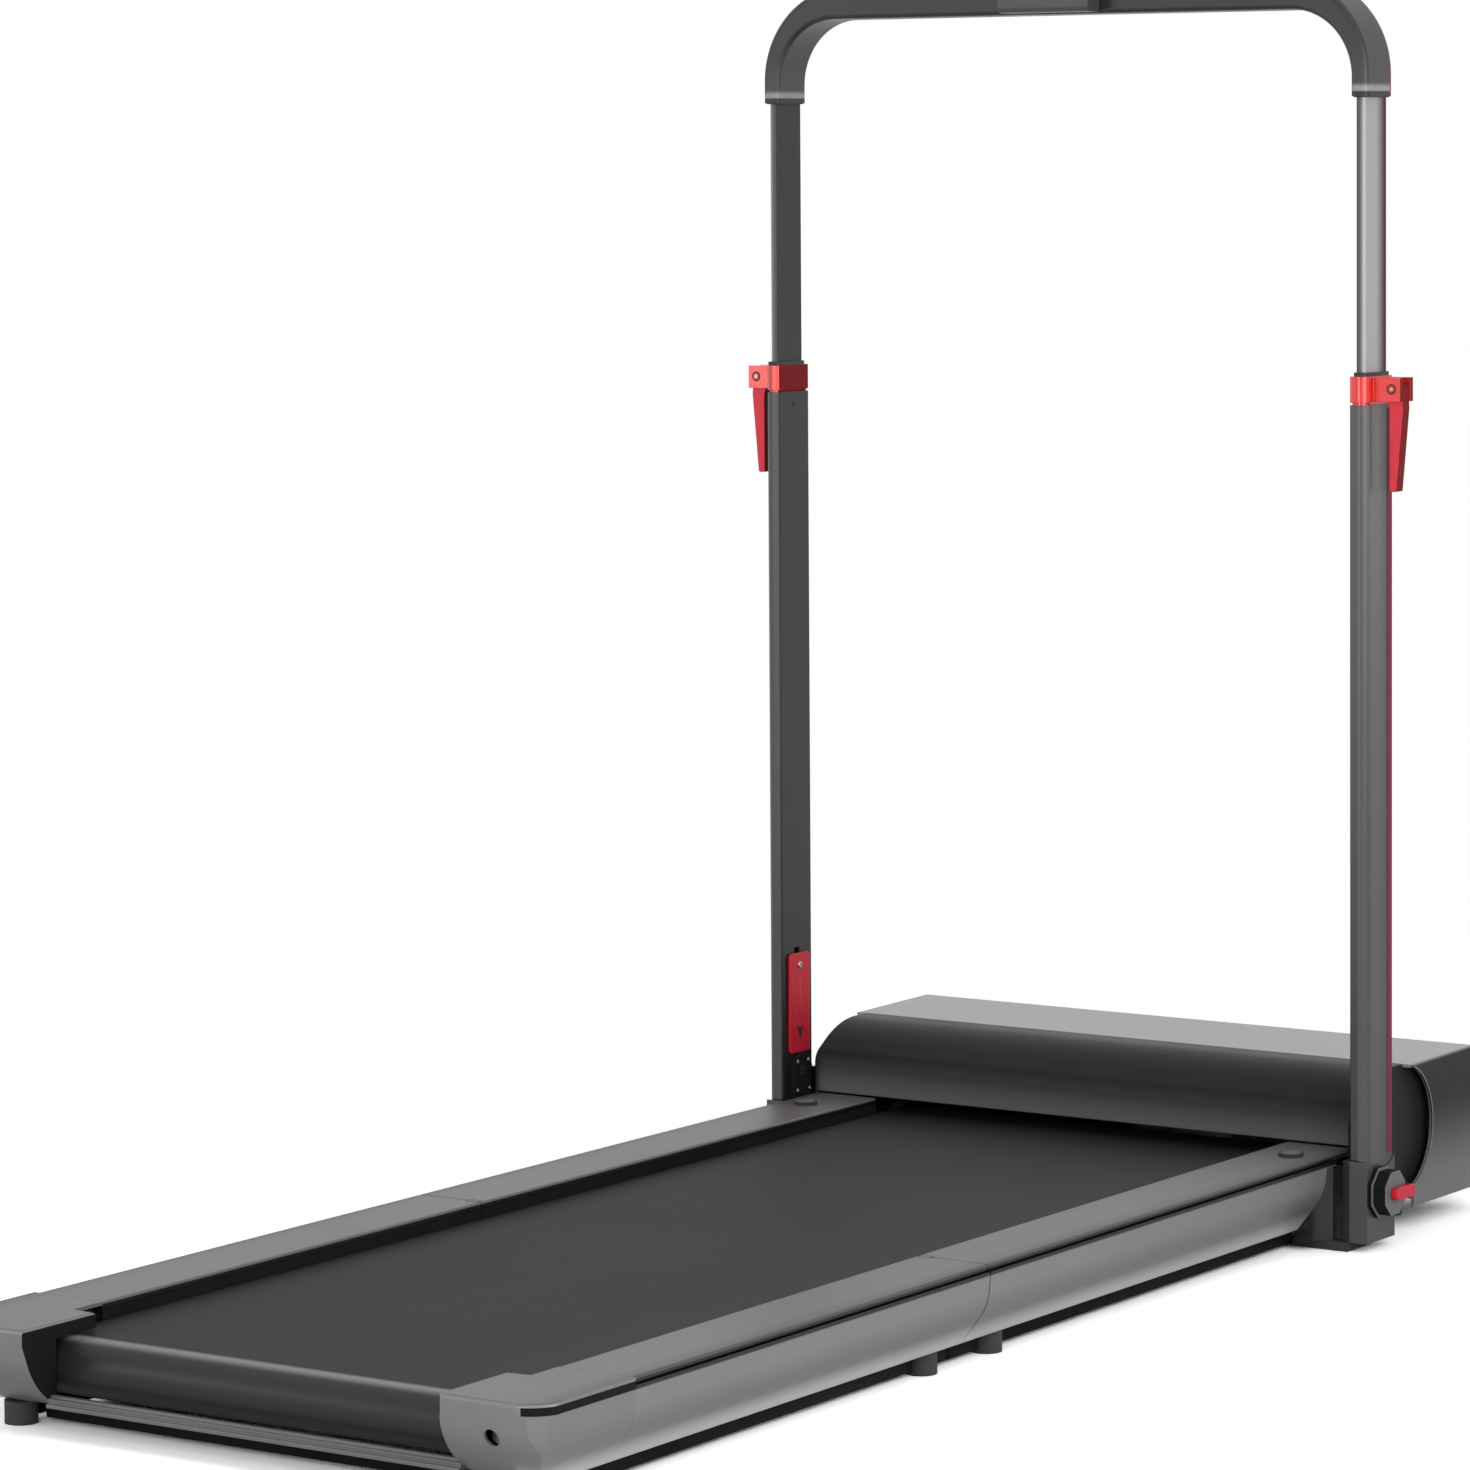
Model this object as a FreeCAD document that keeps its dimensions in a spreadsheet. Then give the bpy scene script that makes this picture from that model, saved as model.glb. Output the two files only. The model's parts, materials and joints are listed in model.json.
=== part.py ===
import FreeCAD
import Part
import Sketcher
import math
import os

# Walking pad with a hinged running deck and a folding, telescopic handrail. Millimetres.
# X is across the deck (+X the walker's right), Y runs to the motor hood, Z is up from the floor.

SIZES = {
    # lengths along the deck
    "overall_length": 1456.0, "rear_length": 610.0, "seam_gap": 1.0,
    "column_inset": 236.1, "nose_setback": 10.3, "crease_inset": 136.0, "cap_length": 118.0,
    "front_roller_inset": 172.0, "rear_roller_inset": 62.0,
    # heights
    "foot_height": 18.0, "rail_height": 61.0, "cover_height": 6.0, "belt_drop": 14.0,
    "hood_height": 149.5, "crease_height": 148.0, "sill_height": 86.0, "hood_clearance": 20.0,
    "pan_height": 27.0, "pan_thickness": 3.0,
    # widths
    "belt_width": 428.0, "belt_side_gap": 3.0, "channel_width": 13.0, "rail_width": 56.0,
    "rail_wall": 3.0, "side_tuck": 28.0, "side_waist": 2.0, "waist_height": 34.0,
    "ledge_thickness": 4.0, "groove_depth": 1.5, "groove_height": 1.2, "cover_inset": 2.5,
    "guide_thickness": 3.0, "shell_wall": 3.0, "nose_clearance": 6.0, "hood_lap": 11.0,
    "nose_shoulder": 27.4, "nose_brow": 48.0, "shoulder_round": 16.0, "brow_round": 97.0,
    # running gear
    "belt_thickness": 1.6, "roller_radius": 21.0, "roller_wall": 4.0, "roller_end_gap": 4.0,
    "axle_radius": 6.0, "axle_reach": 28.0, "bearing_width": 12.0, "bearing_slip": 0.05,
    "board_thickness": 12.0, "board_gap": 0.3, "beam_width": 30.0, "beam_gap": 0.8,
    "beam_wall": 2.0, "beam_inset": 85.0, "board_end_gap": 3.0,
    "plate_thickness": 3.0, "plate_height": 40.0, "plate_overlap": 38.0,
    "pulley_radius": 22.0, "pulley_width": 12.0, "motor_pulley_radius": 13.0,
    "drive_belt_thickness": 2.2, "drive_belt_gap": 0.3,
    "motor_radius": 42.0, "motor_length": 130.0, "motor_height": 85.0, "motor_inset": 73.0,
    "shaft_radius": 5.0,
    # handrail
    "column_width": 16.7, "column_depth": 52.0, "column_wall": 2.0, "column_top": 745.0,
    "column_corner": 2.5, "column_round": 10.0, "column_rear": 4.0, "lug_height": 50.0,
    "pivot_height": 106.5, "pivot_radius": 5.0, "fold_gap": 0.5, "foot_arc": 36.1,
    "cheek_gap": 6.0, "cheek_thickness": 5.8, "hinge_gap": 0.5, "bracket_depth": 53.0,
    "bracket_base": 8.0, "gusset_length": 22.0, "gusset_slope": 5.0,
    "gusset_depth": 32.0, "gusset_curve": 26.0, "gusset_back": 6.0, "gusset_slot": 10.0,
    "collar_gap": 2.0, "collar_height": 23.0, "neck_depth": 25.0, "tube_slip": 0.3,
    "tube_width": 8.6, "tube_depth": 41.2, "tube_corner": 1.5, "tube_round": 3.6,
    "tube_wall": 1.5, "tube_overlap": 185.0,
    "shoe_height": 30.0, "sleeve_drop": 106.0, "sleeve_grip": 16.0,
    "handle_top": 1120.0, "handle_height": 29.4, "handle_depth": 49.4, "handle_edge": 5.0,
    "bend_outer": 86.0, "bend_inner": 60.0, "bend_reach": 95.0,
    "console_width": 94.0, "console_depth": 21.0, "console_margin": 1.5,
    # clamp, latch and knob
    "ear_reach": 26.0, "ear_width": 24.5, "ear_thickness": 5.5, "ear_back": 3.0,
    "pin_radius": 3.0, "pin_offset": 17.5, "pin_rise": 14.0, "lever_gap": 0.3,
    "lever_head": 7.5, "lever_length": 90.0, "lever_thickness": 9.0, "lever_tip": 6.0,
    "lever_lean": 6.0, "lever_inset": 1.5, "lever_room": 4.0, "rib_length": 47.0,
    "catch_length": 17.0,
    "latch_width": 34.3, "latch_height": 94.0, "latch_thickness": 2.5, "latch_rise": 16.5,
    "latch_setback": 9.5,
    "latch_travel": 14.0, "tongue_width": 8.0, "tongue_height": 40.0,
    "knob_height": 52.0, "knob_setback": 3.9, "knob_rim": 24.0, "knob_grip": 21.0,
    "knob_shaft": 4.0, "knob_rim_width": 4.0, "knob_grip_width": 12.0, "wing_length": 35.0,
    "wing_width": 11.0, "wing_depth": 6.5, "running_gap": 0.4,
    # feet, wheels, fold hinge and bumpers
    "foot_radius": 13.0, "seam_foot_front": 61.0, "seam_foot_rear": 38.0, "tail_foot": 53.0,
    "head_foot": 85.0, "sole_length": 44.0, "sole_width": 58.0, "sole_lap": 6.0,
    "wheel_radius": 12.0, "wheel_width": 16.0, "wheel_centre": 14.0, "wheel_place": 200.0,
    "wheel_inset": 30.0, "fork_width": 16.0,
    "hinge_rise": 0.4, "knuckle_radius": 3.5, "hinge_pin_radius": 2.0, "leaf_length": 70.0,
    "bumper_radius": 11.0, "bumper_height": 3.0, "bumper_setback": 52.9,
    # tail
    "cap_lap": 19.0, "cap_corner": 28.0, "cap_round": 66.0, "cap_brow": 3.0, "cap_edge": 4.0,
    "lip_length": 84.0,
    "bolt_inset": 9.5, "bolt_height": 57.0, "bolt_setback": 14.0, "bolt_radius": 3.0,
    "bolt_head": 6.5, "bolt_hole": 7.0, "nut_setback": 28.0, "nut_length": 8.0,
    "plate_lap": 60.0, "guard_height": 9.0, "guard_depth": 10.0, "guard_setback": 25.0,
    "guard_rise": 4.0, "guard_ridge": 3.0, "slide_half": 7.0,
    # hood fittings
    "bite_radius": 57.0, "bite_height": 93.0, "bite_inset": 156.0,
    "flange_thickness": 2.0, "inlet_place": 220.0, "inlet_height": 74.0,
    "inlet_width": 24.0, "inlet_tall": 18.0, "switch_place": 177.0, "switch_width": 22.0,
    "switch_tall": 26.0, "rocker_width": 15.8, "rocker_half": 9.2, "rocker_slip": 0.6,
    "circuit_place": 125.0, "circuit_width": 130.0, "sink_width": 90.0, "sink_height": 22.0,
    "standoff": 5.0,
}

doc = FreeCAD.newDocument("walking_pad")
sheet = doc.addObject("Spreadsheet::Sheet", "dims")
for row, (alias, number) in enumerate(SIZES.items(), 1):
    sheet.set("A%d" % row, alias)
    sheet.set("B%d" % row, str(number))
    sheet.setAlias("B%d" % row, alias)
doc.recompute()


class Size:
    """A length with the sheet expression that drives it."""

    def __init__(self, value, text):
        self.value = float(value)
        self.text = text

    def joined(self, other, sign, value):
        return Size(value, "(%s %s %s)" % (self.text, sign, other.text))

    def __add__(self, other):
        other = size(other)
        return self.joined(other, "+", self.value + other.value)

    def __sub__(self, other):
        other = size(other)
        return self.joined(other, "-", self.value - other.value)

    def __mul__(self, other):
        other = size(other)
        return self.joined(other, "*", self.value * other.value)

    def __truediv__(self, other):
        other = size(other)
        return self.joined(other, "/", self.value / other.value)

    def __neg__(self):
        return Size(-self.value, "(-%s)" % self.text)


def size(item):
    """A Size from a Size or a plain number."""
    return item if isinstance(item, Size) else Size(item, "(%.6f)" % item)


class Dims:
    """The sheet's cells as Size values."""

    def __getattr__(self, alias):
        return Size(sheet.get(alias), "dims." + alias)


d = Dims()
parts = {}
AXES = {"X": FreeCAD.Rotation(FreeCAD.Vector(0, 1, 0), 90),
        "Y": FreeCAD.Rotation(FreeCAD.Vector(1, 0, 0), -90),
        "Z": FreeCAD.Rotation()}
PLANES = {"YZ": ("YZ_Plane", 1, 2, 0), "XZ": ("XZ_Plane", 0, 2, 1), "XY": ("XY_Plane", 0, 1, 2)}


def bind(item, prop, length):
    item.setExpression(prop, size(length).text)


def place(item, x, y, z):
    for name, length in zip("xyz", (x, y, z)):
        bind(item, "Placement.Base." + name, length)
    return item


def box(x, y, z):
    """A block between the (low, high) pairs of its three axes."""
    item = doc.addObject("Part::Box", "block")
    for prop, (low, high) in zip(("Length", "Width", "Height"), (x, y, z)):
        bind(item, prop, size(high) - low)
    return place(item, x[0], y[0], z[0])


def rod(axis, across, up, radius, low, high):
    """A cylinder along an axis, from low to high, centred on the two other coordinates."""
    item = doc.addObject("Part::Cylinder", "rod")
    bind(item, "Radius", radius)
    bind(item, "Height", size(high) - low)
    item.Placement.Rotation = AXES[axis]
    spot = {"X": (low, across, up), "Y": (across, low, up), "Z": (across, up, low)}[axis]
    return place(item, *spot)


def polygon_bar(sides, axis, across, up, radius, low, high):
    """A bar with a regular polygon section, one flat side up."""
    item = doc.addObject("Part::Prism", "polygon")
    item.Polygon = sides
    bind(item, "Circumradius", radius)
    bind(item, "Height", size(high) - low)
    turn = FreeCAD.Rotation(FreeCAD.Vector(0, 0, 1), 180 / sides)
    item.Placement.Rotation = AXES[axis].multiply(turn)
    spot = {"X": (low, across, up), "Y": (across, low, up)}[axis]
    return place(item, *spot)


def prism(plane, outline, low, high, rounds=(), soften=None):
    """A padded outline; rounds are (corner number, radius), soften is (radius, edge test)."""
    role, first, second, along = PLANES[plane]
    body = doc.addObject("PartDesign::Body", "body")
    sketch = body.newObject("Sketcher::SketchObject", "outline")
    base = [item for item in body.Origin.OriginFeatures if item.Role == role][0]
    sketch.AttachmentSupport = [(base, "")]
    sketch.MapMode = "FlatFace"
    bind(sketch, "AttachmentOffset.Base.z", -size(high) if plane == "XZ" else low)
    corners = [(size(u), size(v)) for u, v in outline]
    spots = [FreeCAD.Vector(u.value, v.value, 0) for u, v in corners]
    count = len(spots)
    sketch.addGeometry([Part.LineSegment(spots[i], spots[(i + 1) % count])
                        for i in range(count)], False)
    for i in range(count):
        sketch.addConstraint(Sketcher.Constraint("Coincident", i, 2, (i + 1) % count, 1))
    for i, corner in enumerate(corners):
        for kind, length in zip(("DistanceX", "DistanceY"), corner):
            number = sketch.addConstraint(
                Sketcher.Constraint(kind, -1, 1, i, 1, length.value))
            bind(sketch, "Constraints[%d]" % number, length)
    tip = body.newObject("PartDesign::Pad", "pad")
    tip.Profile = sketch
    bind(tip, "Length", size(high) - low)
    doc.recompute()
    for corner, radius in rounds:
        u, v = corners[corner]
        names = ["Edge%d" % i for i, edge in enumerate(tip.Shape.Edges, 1)
                 if all(abs(end.Point[first] - u.value) + abs(end.Point[second] - v.value) < 1e-4
                        for end in edge.Vertexes)]
        tip = round_over(body, tip, names, radius)
    if soften:
        radius, wanted = soften
        ends = (size(low).value, size(high).value)
        names = ["Edge%d" % i for i, edge in enumerate(tip.Shape.Edges, 1)
                 if any(abs(edge.BoundBox.getPoint(0)[along] - end)
                        + abs(edge.BoundBox.getPoint(6)[along] - end) < 1e-3 for end in ends)
                 and wanted(edge.CenterOfMass)]
        tip = round_over(body, tip, names, radius)
    return body


def round_over(body, tip, names, radius):
    fillet = body.newObject("PartDesign::Fillet", "round")
    fillet.Base = (tip, names)
    bind(fillet, "Radius", radius)
    doc.recompute()
    return fillet


def cut(base, *tools):
    for tool in tools:
        item = doc.addObject("Part::Cut", "cut")
        item.Base = base
        item.Tool = tool
        base = item
    return base


def fuse(*items):
    item = doc.addObject("Part::MultiFuse", "fuse")
    item.Shapes = list(items)
    return item


def common(first, second):
    item = doc.addObject("Part::Common", "common")
    item.Base = first
    item.Tool = second
    return item


def mirror(source):
    item = doc.addObject("Part::Mirroring", "mirror")
    item.Source = source
    item.Normal = FreeCAD.Vector(1, 0, 0)
    return item


def group(*items):
    item = doc.addObject("Part::Compound", "group")
    item.Links = list(items)
    return item


def keep(label, item):
    item.Label = label
    parts[label] = item


def keep_pair(label, right):
    keep(label + "_right", right)
    keep(label + "_left", mirror(right))


def both(*items):
    return group(*items, *[mirror(item) for item in items])


# levels and places shared by several pieces
tail = -d.overall_length / 2
head = d.overall_length / 2
seam = tail + d.rear_length
front_start = seam + d.seam_gap / 2
rear_end = seam - d.seam_gap / 2
column_y = head - d.column_inset
nose_front = column_y + d.nose_setback
crease = head - d.crease_inset
hood_back = head - d.flange_thickness
cap_start = tail + d.cap_length
rail_end = column_y - d.bracket_depth / 2

rail_body_top = d.foot_height + d.rail_height
rail_top = rail_body_top + d.cover_height
belt_top = rail_top - d.belt_drop
belt_radius = d.roller_radius + d.belt_thickness
roller_z = belt_top - belt_radius
belt_bottom = roller_z - belt_radius
board_top = belt_top - d.belt_thickness - d.board_gap
board_bottom = board_top - d.board_thickness
ledge_bottom = board_bottom - d.ledge_thickness
pan_top = d.pan_height + d.pan_thickness

belt_edge = d.belt_width / 2
cover_in = belt_edge + d.belt_side_gap
guide_out = cover_in + d.guide_thickness
rail_in = cover_in + d.channel_width
rail_out = rail_in + d.rail_width
cover_out = rail_out - d.cover_inset
cavity_in = rail_in + d.rail_wall
cheek_in = rail_out + d.cheek_gap
cheek_out = cheek_in + d.cheek_thickness
column_in = cheek_out + d.hinge_gap
column_out = column_in + d.column_width
column_x = column_in + d.column_width / 2
bracket_out = column_out + 1
axle_end = belt_edge + d.axle_reach
bolt_x = rail_in + d.bolt_inset
cap_inner = belt_edge - d.cap_lap
roller_end = belt_edge + d.roller_end_gap
front_roller_y = head - d.front_roller_inset
rear_roller_y = tail + d.rear_roller_inset
hinge_z = rail_top + d.hinge_rise
pivot_z = d.pivot_height


def span(centre, width):
    return (size(centre) - size(width) / 2, size(centre) + size(width) / 2)


def side_form(inner, top, low, high, inset):
    """The rail's tucked outer side between an inner wall and a top level."""
    out = rail_out - inset
    outline = [(inner, d.foot_height + inset), (rail_out - d.side_tuck - inset / 3,
                                                d.foot_height + inset),
               (out - d.side_waist, d.foot_height + d.waist_height), (out, top), (inner, top)]
    return prism("XZ", outline, low, high, [(1, 5.0), (2, 45.0)])


# rails, covers, guides and boards of both deck halves

def rail(low, high):
    inset = d.rail_wall
    shell = side_form(rail_in, rail_body_top, low, high, size(0))
    hollow = side_form(cavity_in, rail_body_top - inset, low - 1, high + 1, inset)
    ledge = box((cover_in + 1, cavity_in), (low, high), (ledge_bottom, board_bottom))
    return cut(fuse(shell, ledge), hollow)


def cover(low, high, notch):
    step = cover_out - d.groove_depth
    lip = rail_body_top + d.groove_height
    outline = [(cover_in, rail_body_top), (step, rail_body_top), (step, lip), (cover_out, lip),
               (cover_out, rail_top), (cover_in, rail_top)]
    strip = prism("XZ", outline, low, high, [(4, 3.0), (5, 2.0)])
    room = box((guide_out, rail_in + 1.5), notch, (rail_body_top - 1, rail_top + 1))
    return cut(strip, room)


def guide(low, high):
    return both(box((cover_in, guide_out), (low, high), (board_top, rail_body_top)))


def board(low, high):
    return box((-rail_in + 0.5, rail_in - 0.5), (low, high), (board_bottom, board_top))


def beams(low, high):
    """Three hollow cross beams under the ledges: one near each end and one between."""
    first, last = low + d.beam_inset, high - d.beam_inset
    levels = (belt_bottom + d.belt_thickness + d.beam_gap, ledge_bottom)
    return [cut(box((-rail_in, rail_in), span(y, d.beam_width), levels),
                box((-rail_in - 1, rail_in + 1), span(y, d.beam_width - d.beam_wall * 2),
                    (levels[0] + d.beam_wall, levels[1] - d.beam_wall)))
            for y in (first, (first + last) / 2, last)]


def frame_plate(low, high, bottom, axle_y):
    outside = cavity_in + d.plate_thickness
    plate = box((cavity_in, outside), (low, high), (bottom, bottom + d.plate_height))
    hole = rod("X", axle_y, roller_z, d.axle_radius + d.bearing_slip, cavity_in - 1, outside + 1)
    return cut(plate, hole)


# the wedge at the rail's front end, where the side gives way to the column gusset
wedge_low = rail_end - d.gusset_length
wedge_high = wedge_low + d.gusset_slope
wedge_in = rail_out - d.gusset_depth
wedge_top = rail_body_top - d.rail_wall - 0.5
wedge = prism("YZ", [(wedge_low, 0), (wedge_low, d.foot_height), (wedge_high, wedge_top),
                     (rail_end + 1, wedge_top), (rail_end + 1, 0)], wedge_in, rail_out + 5)
keep_pair("front_rail", cut(rail(front_start, rail_end), wedge))
keep_pair("front_cover", cover(front_start, nose_front - 1,
                               (seam - 1, seam + d.knuckle_radius + 1)))
keep("front_guides", guide(front_start, nose_front - 1))
front_board_end = (front_roller_y - d.pulley_radius - d.drive_belt_gap - d.drive_belt_thickness
                   - d.board_end_gap)
keep("front_deck_board", board(front_start, front_board_end))
head_plate = frame_plate(rail_end - d.plate_overlap, hood_back - 5, pan_top, front_roller_y)
keep("front_frame", group(*beams(seam, rail_end), head_plate, mirror(head_plate)))

keep_pair("rear_rail", rail(cap_start, rear_end))
keep_pair("rear_cover", cover(cap_start, rear_end, (seam - d.knuckle_radius - 1, seam + 1)))
keep("rear_guides", guide(cap_start, rear_end))
rear_board_end = rear_roller_y + belt_radius + d.board_end_gap
keep("rear_deck_board", board(rear_board_end, rear_end))
nut_low = rear_roller_y - d.nut_setback
nut_high = nut_low + d.nut_length
tail_plate = frame_plate(nut_low, cap_start + d.plate_lap, roller_z - d.plate_height / 2,
                         rear_roller_y)
bolt_side = (cavity_in + d.plate_thickness, bolt_x + d.bolt_radius * 2)
nut = cut(box(bolt_side, (nut_low, nut_high), span(d.bolt_height, d.bolt_radius * 4)),
          rod("Y", bolt_x, d.bolt_height, d.bolt_radius + d.bearing_slip, nut_low - 1,
              nut_high + 1))
tail_side = fuse(tail_plate, nut)
keep("rear_frame", group(*beams(cap_start, seam), tail_side, mirror(tail_side)))


# running belt halves, rollers and drive

def belt_half(seam_face, axis_y):
    low, high = (seam_face, axis_y) if axis_y.value > seam_face.value else (axis_y, seam_face)
    across = (-belt_edge, belt_edge)
    outer = fuse(box(across, (low, high), (belt_bottom, belt_top)),
                 rod("X", axis_y, roller_z, belt_radius, *across))
    past = (low - 1, high) if low is seam_face else (low, high + 1)
    inside = (belt_bottom + d.belt_thickness, belt_top - d.belt_thickness)
    wide = (-belt_edge - 1, belt_edge + 1)
    inner = fuse(box(wide, past, inside),
                 rod("X", axis_y, roller_z, d.roller_radius + 0.3, *wide))
    return cut(outer, inner)


keep("belt_front", belt_half(front_start, front_roller_y))
keep("belt_rear", belt_half(rear_end, rear_roller_y))


def roller(axis_y):
    """A roller tube with a bearing plug in each end."""
    bore = d.roller_radius - d.roller_wall
    tube = cut(rod("X", axis_y, roller_z, d.roller_radius, -roller_end, roller_end),
               rod("X", axis_y, roller_z, bore, -roller_end - 1, roller_end + 1))
    low = roller_end - d.bearing_width
    plug = cut(rod("X", axis_y, roller_z, bore, low, roller_end),
               rod("X", axis_y, roller_z, d.axle_radius + d.bearing_slip, low - 1,
                   roller_end + 1))
    return fuse(tube, plug, mirror(plug))


def axle(axis_y):
    return rod("X", axis_y, roller_z, d.axle_radius, -axle_end, axle_end)


keep("front_axle", axle(front_roller_y))
keep("rear_roller", roller(rear_roller_y))
slide_low = rear_roller_y - d.slide_half
slide = box((bolt_side[0] + d.running_gap, bolt_side[1]), (slide_low, rear_roller_y + d.slide_half),
            (roller_z - d.slide_half, d.bolt_height + d.slide_half))
keep("rear_axle", fuse(axle(rear_roller_y), slide, mirror(slide)))

pulley_side = -roller_end - d.pulley_width
motor_y = head - d.motor_inset
motor_side = -roller_end + 28
drive_pulley = cut(
    rod("X", front_roller_y, roller_z, d.pulley_radius, pulley_side, -roller_end),
    rod("X", front_roller_y, roller_z, d.axle_radius + 0.5, pulley_side - 1, -roller_end + 1))
keep("front_roller", fuse(roller(front_roller_y), drive_pulley))
keep("motor_rotor", fuse(
    rod("X", motor_y, d.motor_height, d.motor_pulley_radius, pulley_side, -roller_end),
    rod("X", motor_y, d.motor_height, d.shaft_radius, pulley_side, motor_side + 15)))
cradle = cut(box(span(motor_side + d.motor_length / 2, d.motor_length - 30),
                 span(motor_y, 60), (pan_top, d.motor_height - 25)),
             rod("X", motor_y, d.motor_height, d.motor_radius, motor_side - 1,
                 motor_side + d.motor_length + 1))
can = cut(rod("X", motor_y, d.motor_height, d.motor_radius, motor_side,
              motor_side + d.motor_length),
          rod("X", motor_y, d.motor_height, d.shaft_radius + d.bearing_slip, motor_side - 1,
              motor_side + 16))
keep("motor_body", fuse(can, cradle))


def loop_face(radii, centres):
    """A face bounded by the outer tangents of two circles in the YZ plane."""
    (y1, z1), (y2, z2) = centres
    slope = math.atan2(z2 - z1, y2 - y1)
    lean = math.acos((radii[0] - radii[1]) / math.hypot(y2 - y1, z2 - z1))

    def on(circle, angle):
        y, z = centres[circle]
        return FreeCAD.Vector(0, y + radii[circle] * math.cos(angle),
                              z + radii[circle] * math.sin(angle))

    up, down = slope + lean, slope - lean
    edges = [Part.LineSegment(on(0, up), on(1, up)).toShape(),
             Part.Arc(on(1, up), on(1, slope), on(1, down)).toShape(),
             Part.LineSegment(on(1, down), on(0, down)).toShape(),
             Part.Arc(on(0, down), on(0, slope + math.pi), on(0, up)).toShape()]
    return Part.Face(Part.Wire(edges))


drive_belt = doc.addObject("Part::Feature", "drive_belt")
pulley_spots = [(front_roller_y.value, roller_z.value), (motor_y.value, sheet.motor_height)]
pulley_radii = [sheet.pulley_radius + sheet.drive_belt_gap,
                sheet.motor_pulley_radius + sheet.drive_belt_gap]
loop_outer = [radius + sheet.drive_belt_thickness for radius in pulley_radii]
loop = loop_face(loop_outer, pulley_spots).cut(loop_face(pulley_radii, pulley_spots))
drive_belt.Shape = loop.extrude(FreeCAD.Vector(sheet.pulley_width - 2, 0, 0))
drive_belt.Placement.Base.x = pulley_side.value + 1
keep("drive_belt", drive_belt)


# hood, nose panel and what they hold

half_nose = cheek_in - d.nose_clearance
half_hood = half_nose + d.hood_lap
wall = d.shell_wall
hood_low = d.hood_clearance
hood_form = prism("YZ", [(crease, hood_low), (hood_back - 9, hood_low), (hood_back, hood_low + 11),
                         (hood_back, d.hood_height - 34), (hood_back - 7, d.hood_height),
                         (crease, d.crease_height)], -half_hood, half_hood,
                  [(2, 8.0), (3, 25.0), (4, 7.0)],
                  (4.0, lambda spot: spot.z > sheet.hood_clearance + 15
                   and spot.y > crease.value + 1))
hood_room = prism("YZ", [(crease - 1, hood_low - 1), (hood_back - 9 - wall / 2, hood_low - 1),
                         (hood_back - wall, hood_low + 12), (hood_back - wall, d.hood_height - 34),
                         (hood_back - 9, d.hood_height - wall), (crease - 1,
                                                                 d.crease_height - wall)],
                  -half_hood + wall, half_hood - wall, [(3, 22.0), (4, 5.0)])
bite = rod("X", head - d.bite_inset, d.bite_height, d.bite_radius, half_hood - wall - 0.5,
           half_hood + 1)
inlet_x = span(d.inlet_place, d.inlet_width)
inlet_z = span(d.inlet_height, d.inlet_tall)
switch_x = span(d.switch_place, d.switch_width)
switch_z = span(d.inlet_height, d.switch_tall)
through = (hood_back - wall - 1, hood_back + 1)
keep("hood_cover", cut(hood_form, hood_room, bite, mirror(bite), box(inlet_x, through, inlet_z),
                       box(switch_x, through, switch_z)))

nose_back = crease + 47
nose_top = d.crease_height - wall - 0.3
shoulder_z = d.crease_height - d.nose_shoulder
brow_y = crease - d.nose_brow
nose_form = prism("YZ", [(nose_front, pan_top), (nose_front, shoulder_z),
                         (brow_y, d.crease_height), (crease - 0.5, d.crease_height),
                         (crease - 0.5, nose_top), (nose_back, nose_top), (nose_back, pan_top)],
                  -half_nose, half_nose, [(1, d.shoulder_round), (2, d.brow_round)])
nose_room = prism("YZ", [(nose_front + wall, pan_top - 1), (nose_front + wall, shoulder_z - wall / 2),
                         (brow_y + wall / 3, nose_top), (crease - 0.5, nose_top),
                         (crease - 0.5, d.crease_height + 1), (nose_back + 1,
                                                               d.crease_height + 1),
                         (nose_back + 1, pan_top - 1)],
                  -half_nose + wall, half_nose - wall,
                  [(1, d.shoulder_round - wall), (2, d.brow_round - wall)])
doorway = box((-half_nose + wall, half_nose - wall), (nose_front - 1, nose_front + wall + 1),
              (pan_top - 1, d.sill_height))
keep("nose_panel", cut(nose_form, nose_room, doorway))

# pan with the welded forks and stub axles of the transport wheels
wheel_y = head - d.wheel_inset
wheel_x = span(d.wheel_place, d.wheel_width)
fork_y = span(wheel_y, d.fork_width)
fork_z = (d.wheel_centre - 6, d.pan_height)
fork_out = (wheel_x[1] + d.running_gap, wheel_x[1] + d.running_gap + d.plate_thickness)
fork_in = (wheel_x[0] - d.running_gap - d.plate_thickness, wheel_x[0] - d.running_gap)
stub = rod("X", wheel_y, d.wheel_centre, d.pin_radius, fork_in[0], fork_out[1])
fork = fuse(box(fork_in, fork_y, fork_z), box(fork_out, fork_y, fork_z), stub)
pan = box((-half_hood + wall, half_hood - wall), (crease - 5, hood_back - wall),
          (d.pan_height, pan_top))
keep("base_pan", fuse(common(pan, hood_room), fork, mirror(fork),
                      box((-half_nose, half_nose), (crease - 5, crease), (d.pan_height, pan_top))))
wheel = cut(rod("X", wheel_y, d.wheel_centre, d.wheel_radius, *wheel_x),
            rod("X", wheel_y, d.wheel_centre, d.pin_radius + d.bearing_slip, wheel_x[0] - 1,
                wheel_x[1] + 1))
keep_pair("wheel", wheel)

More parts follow.
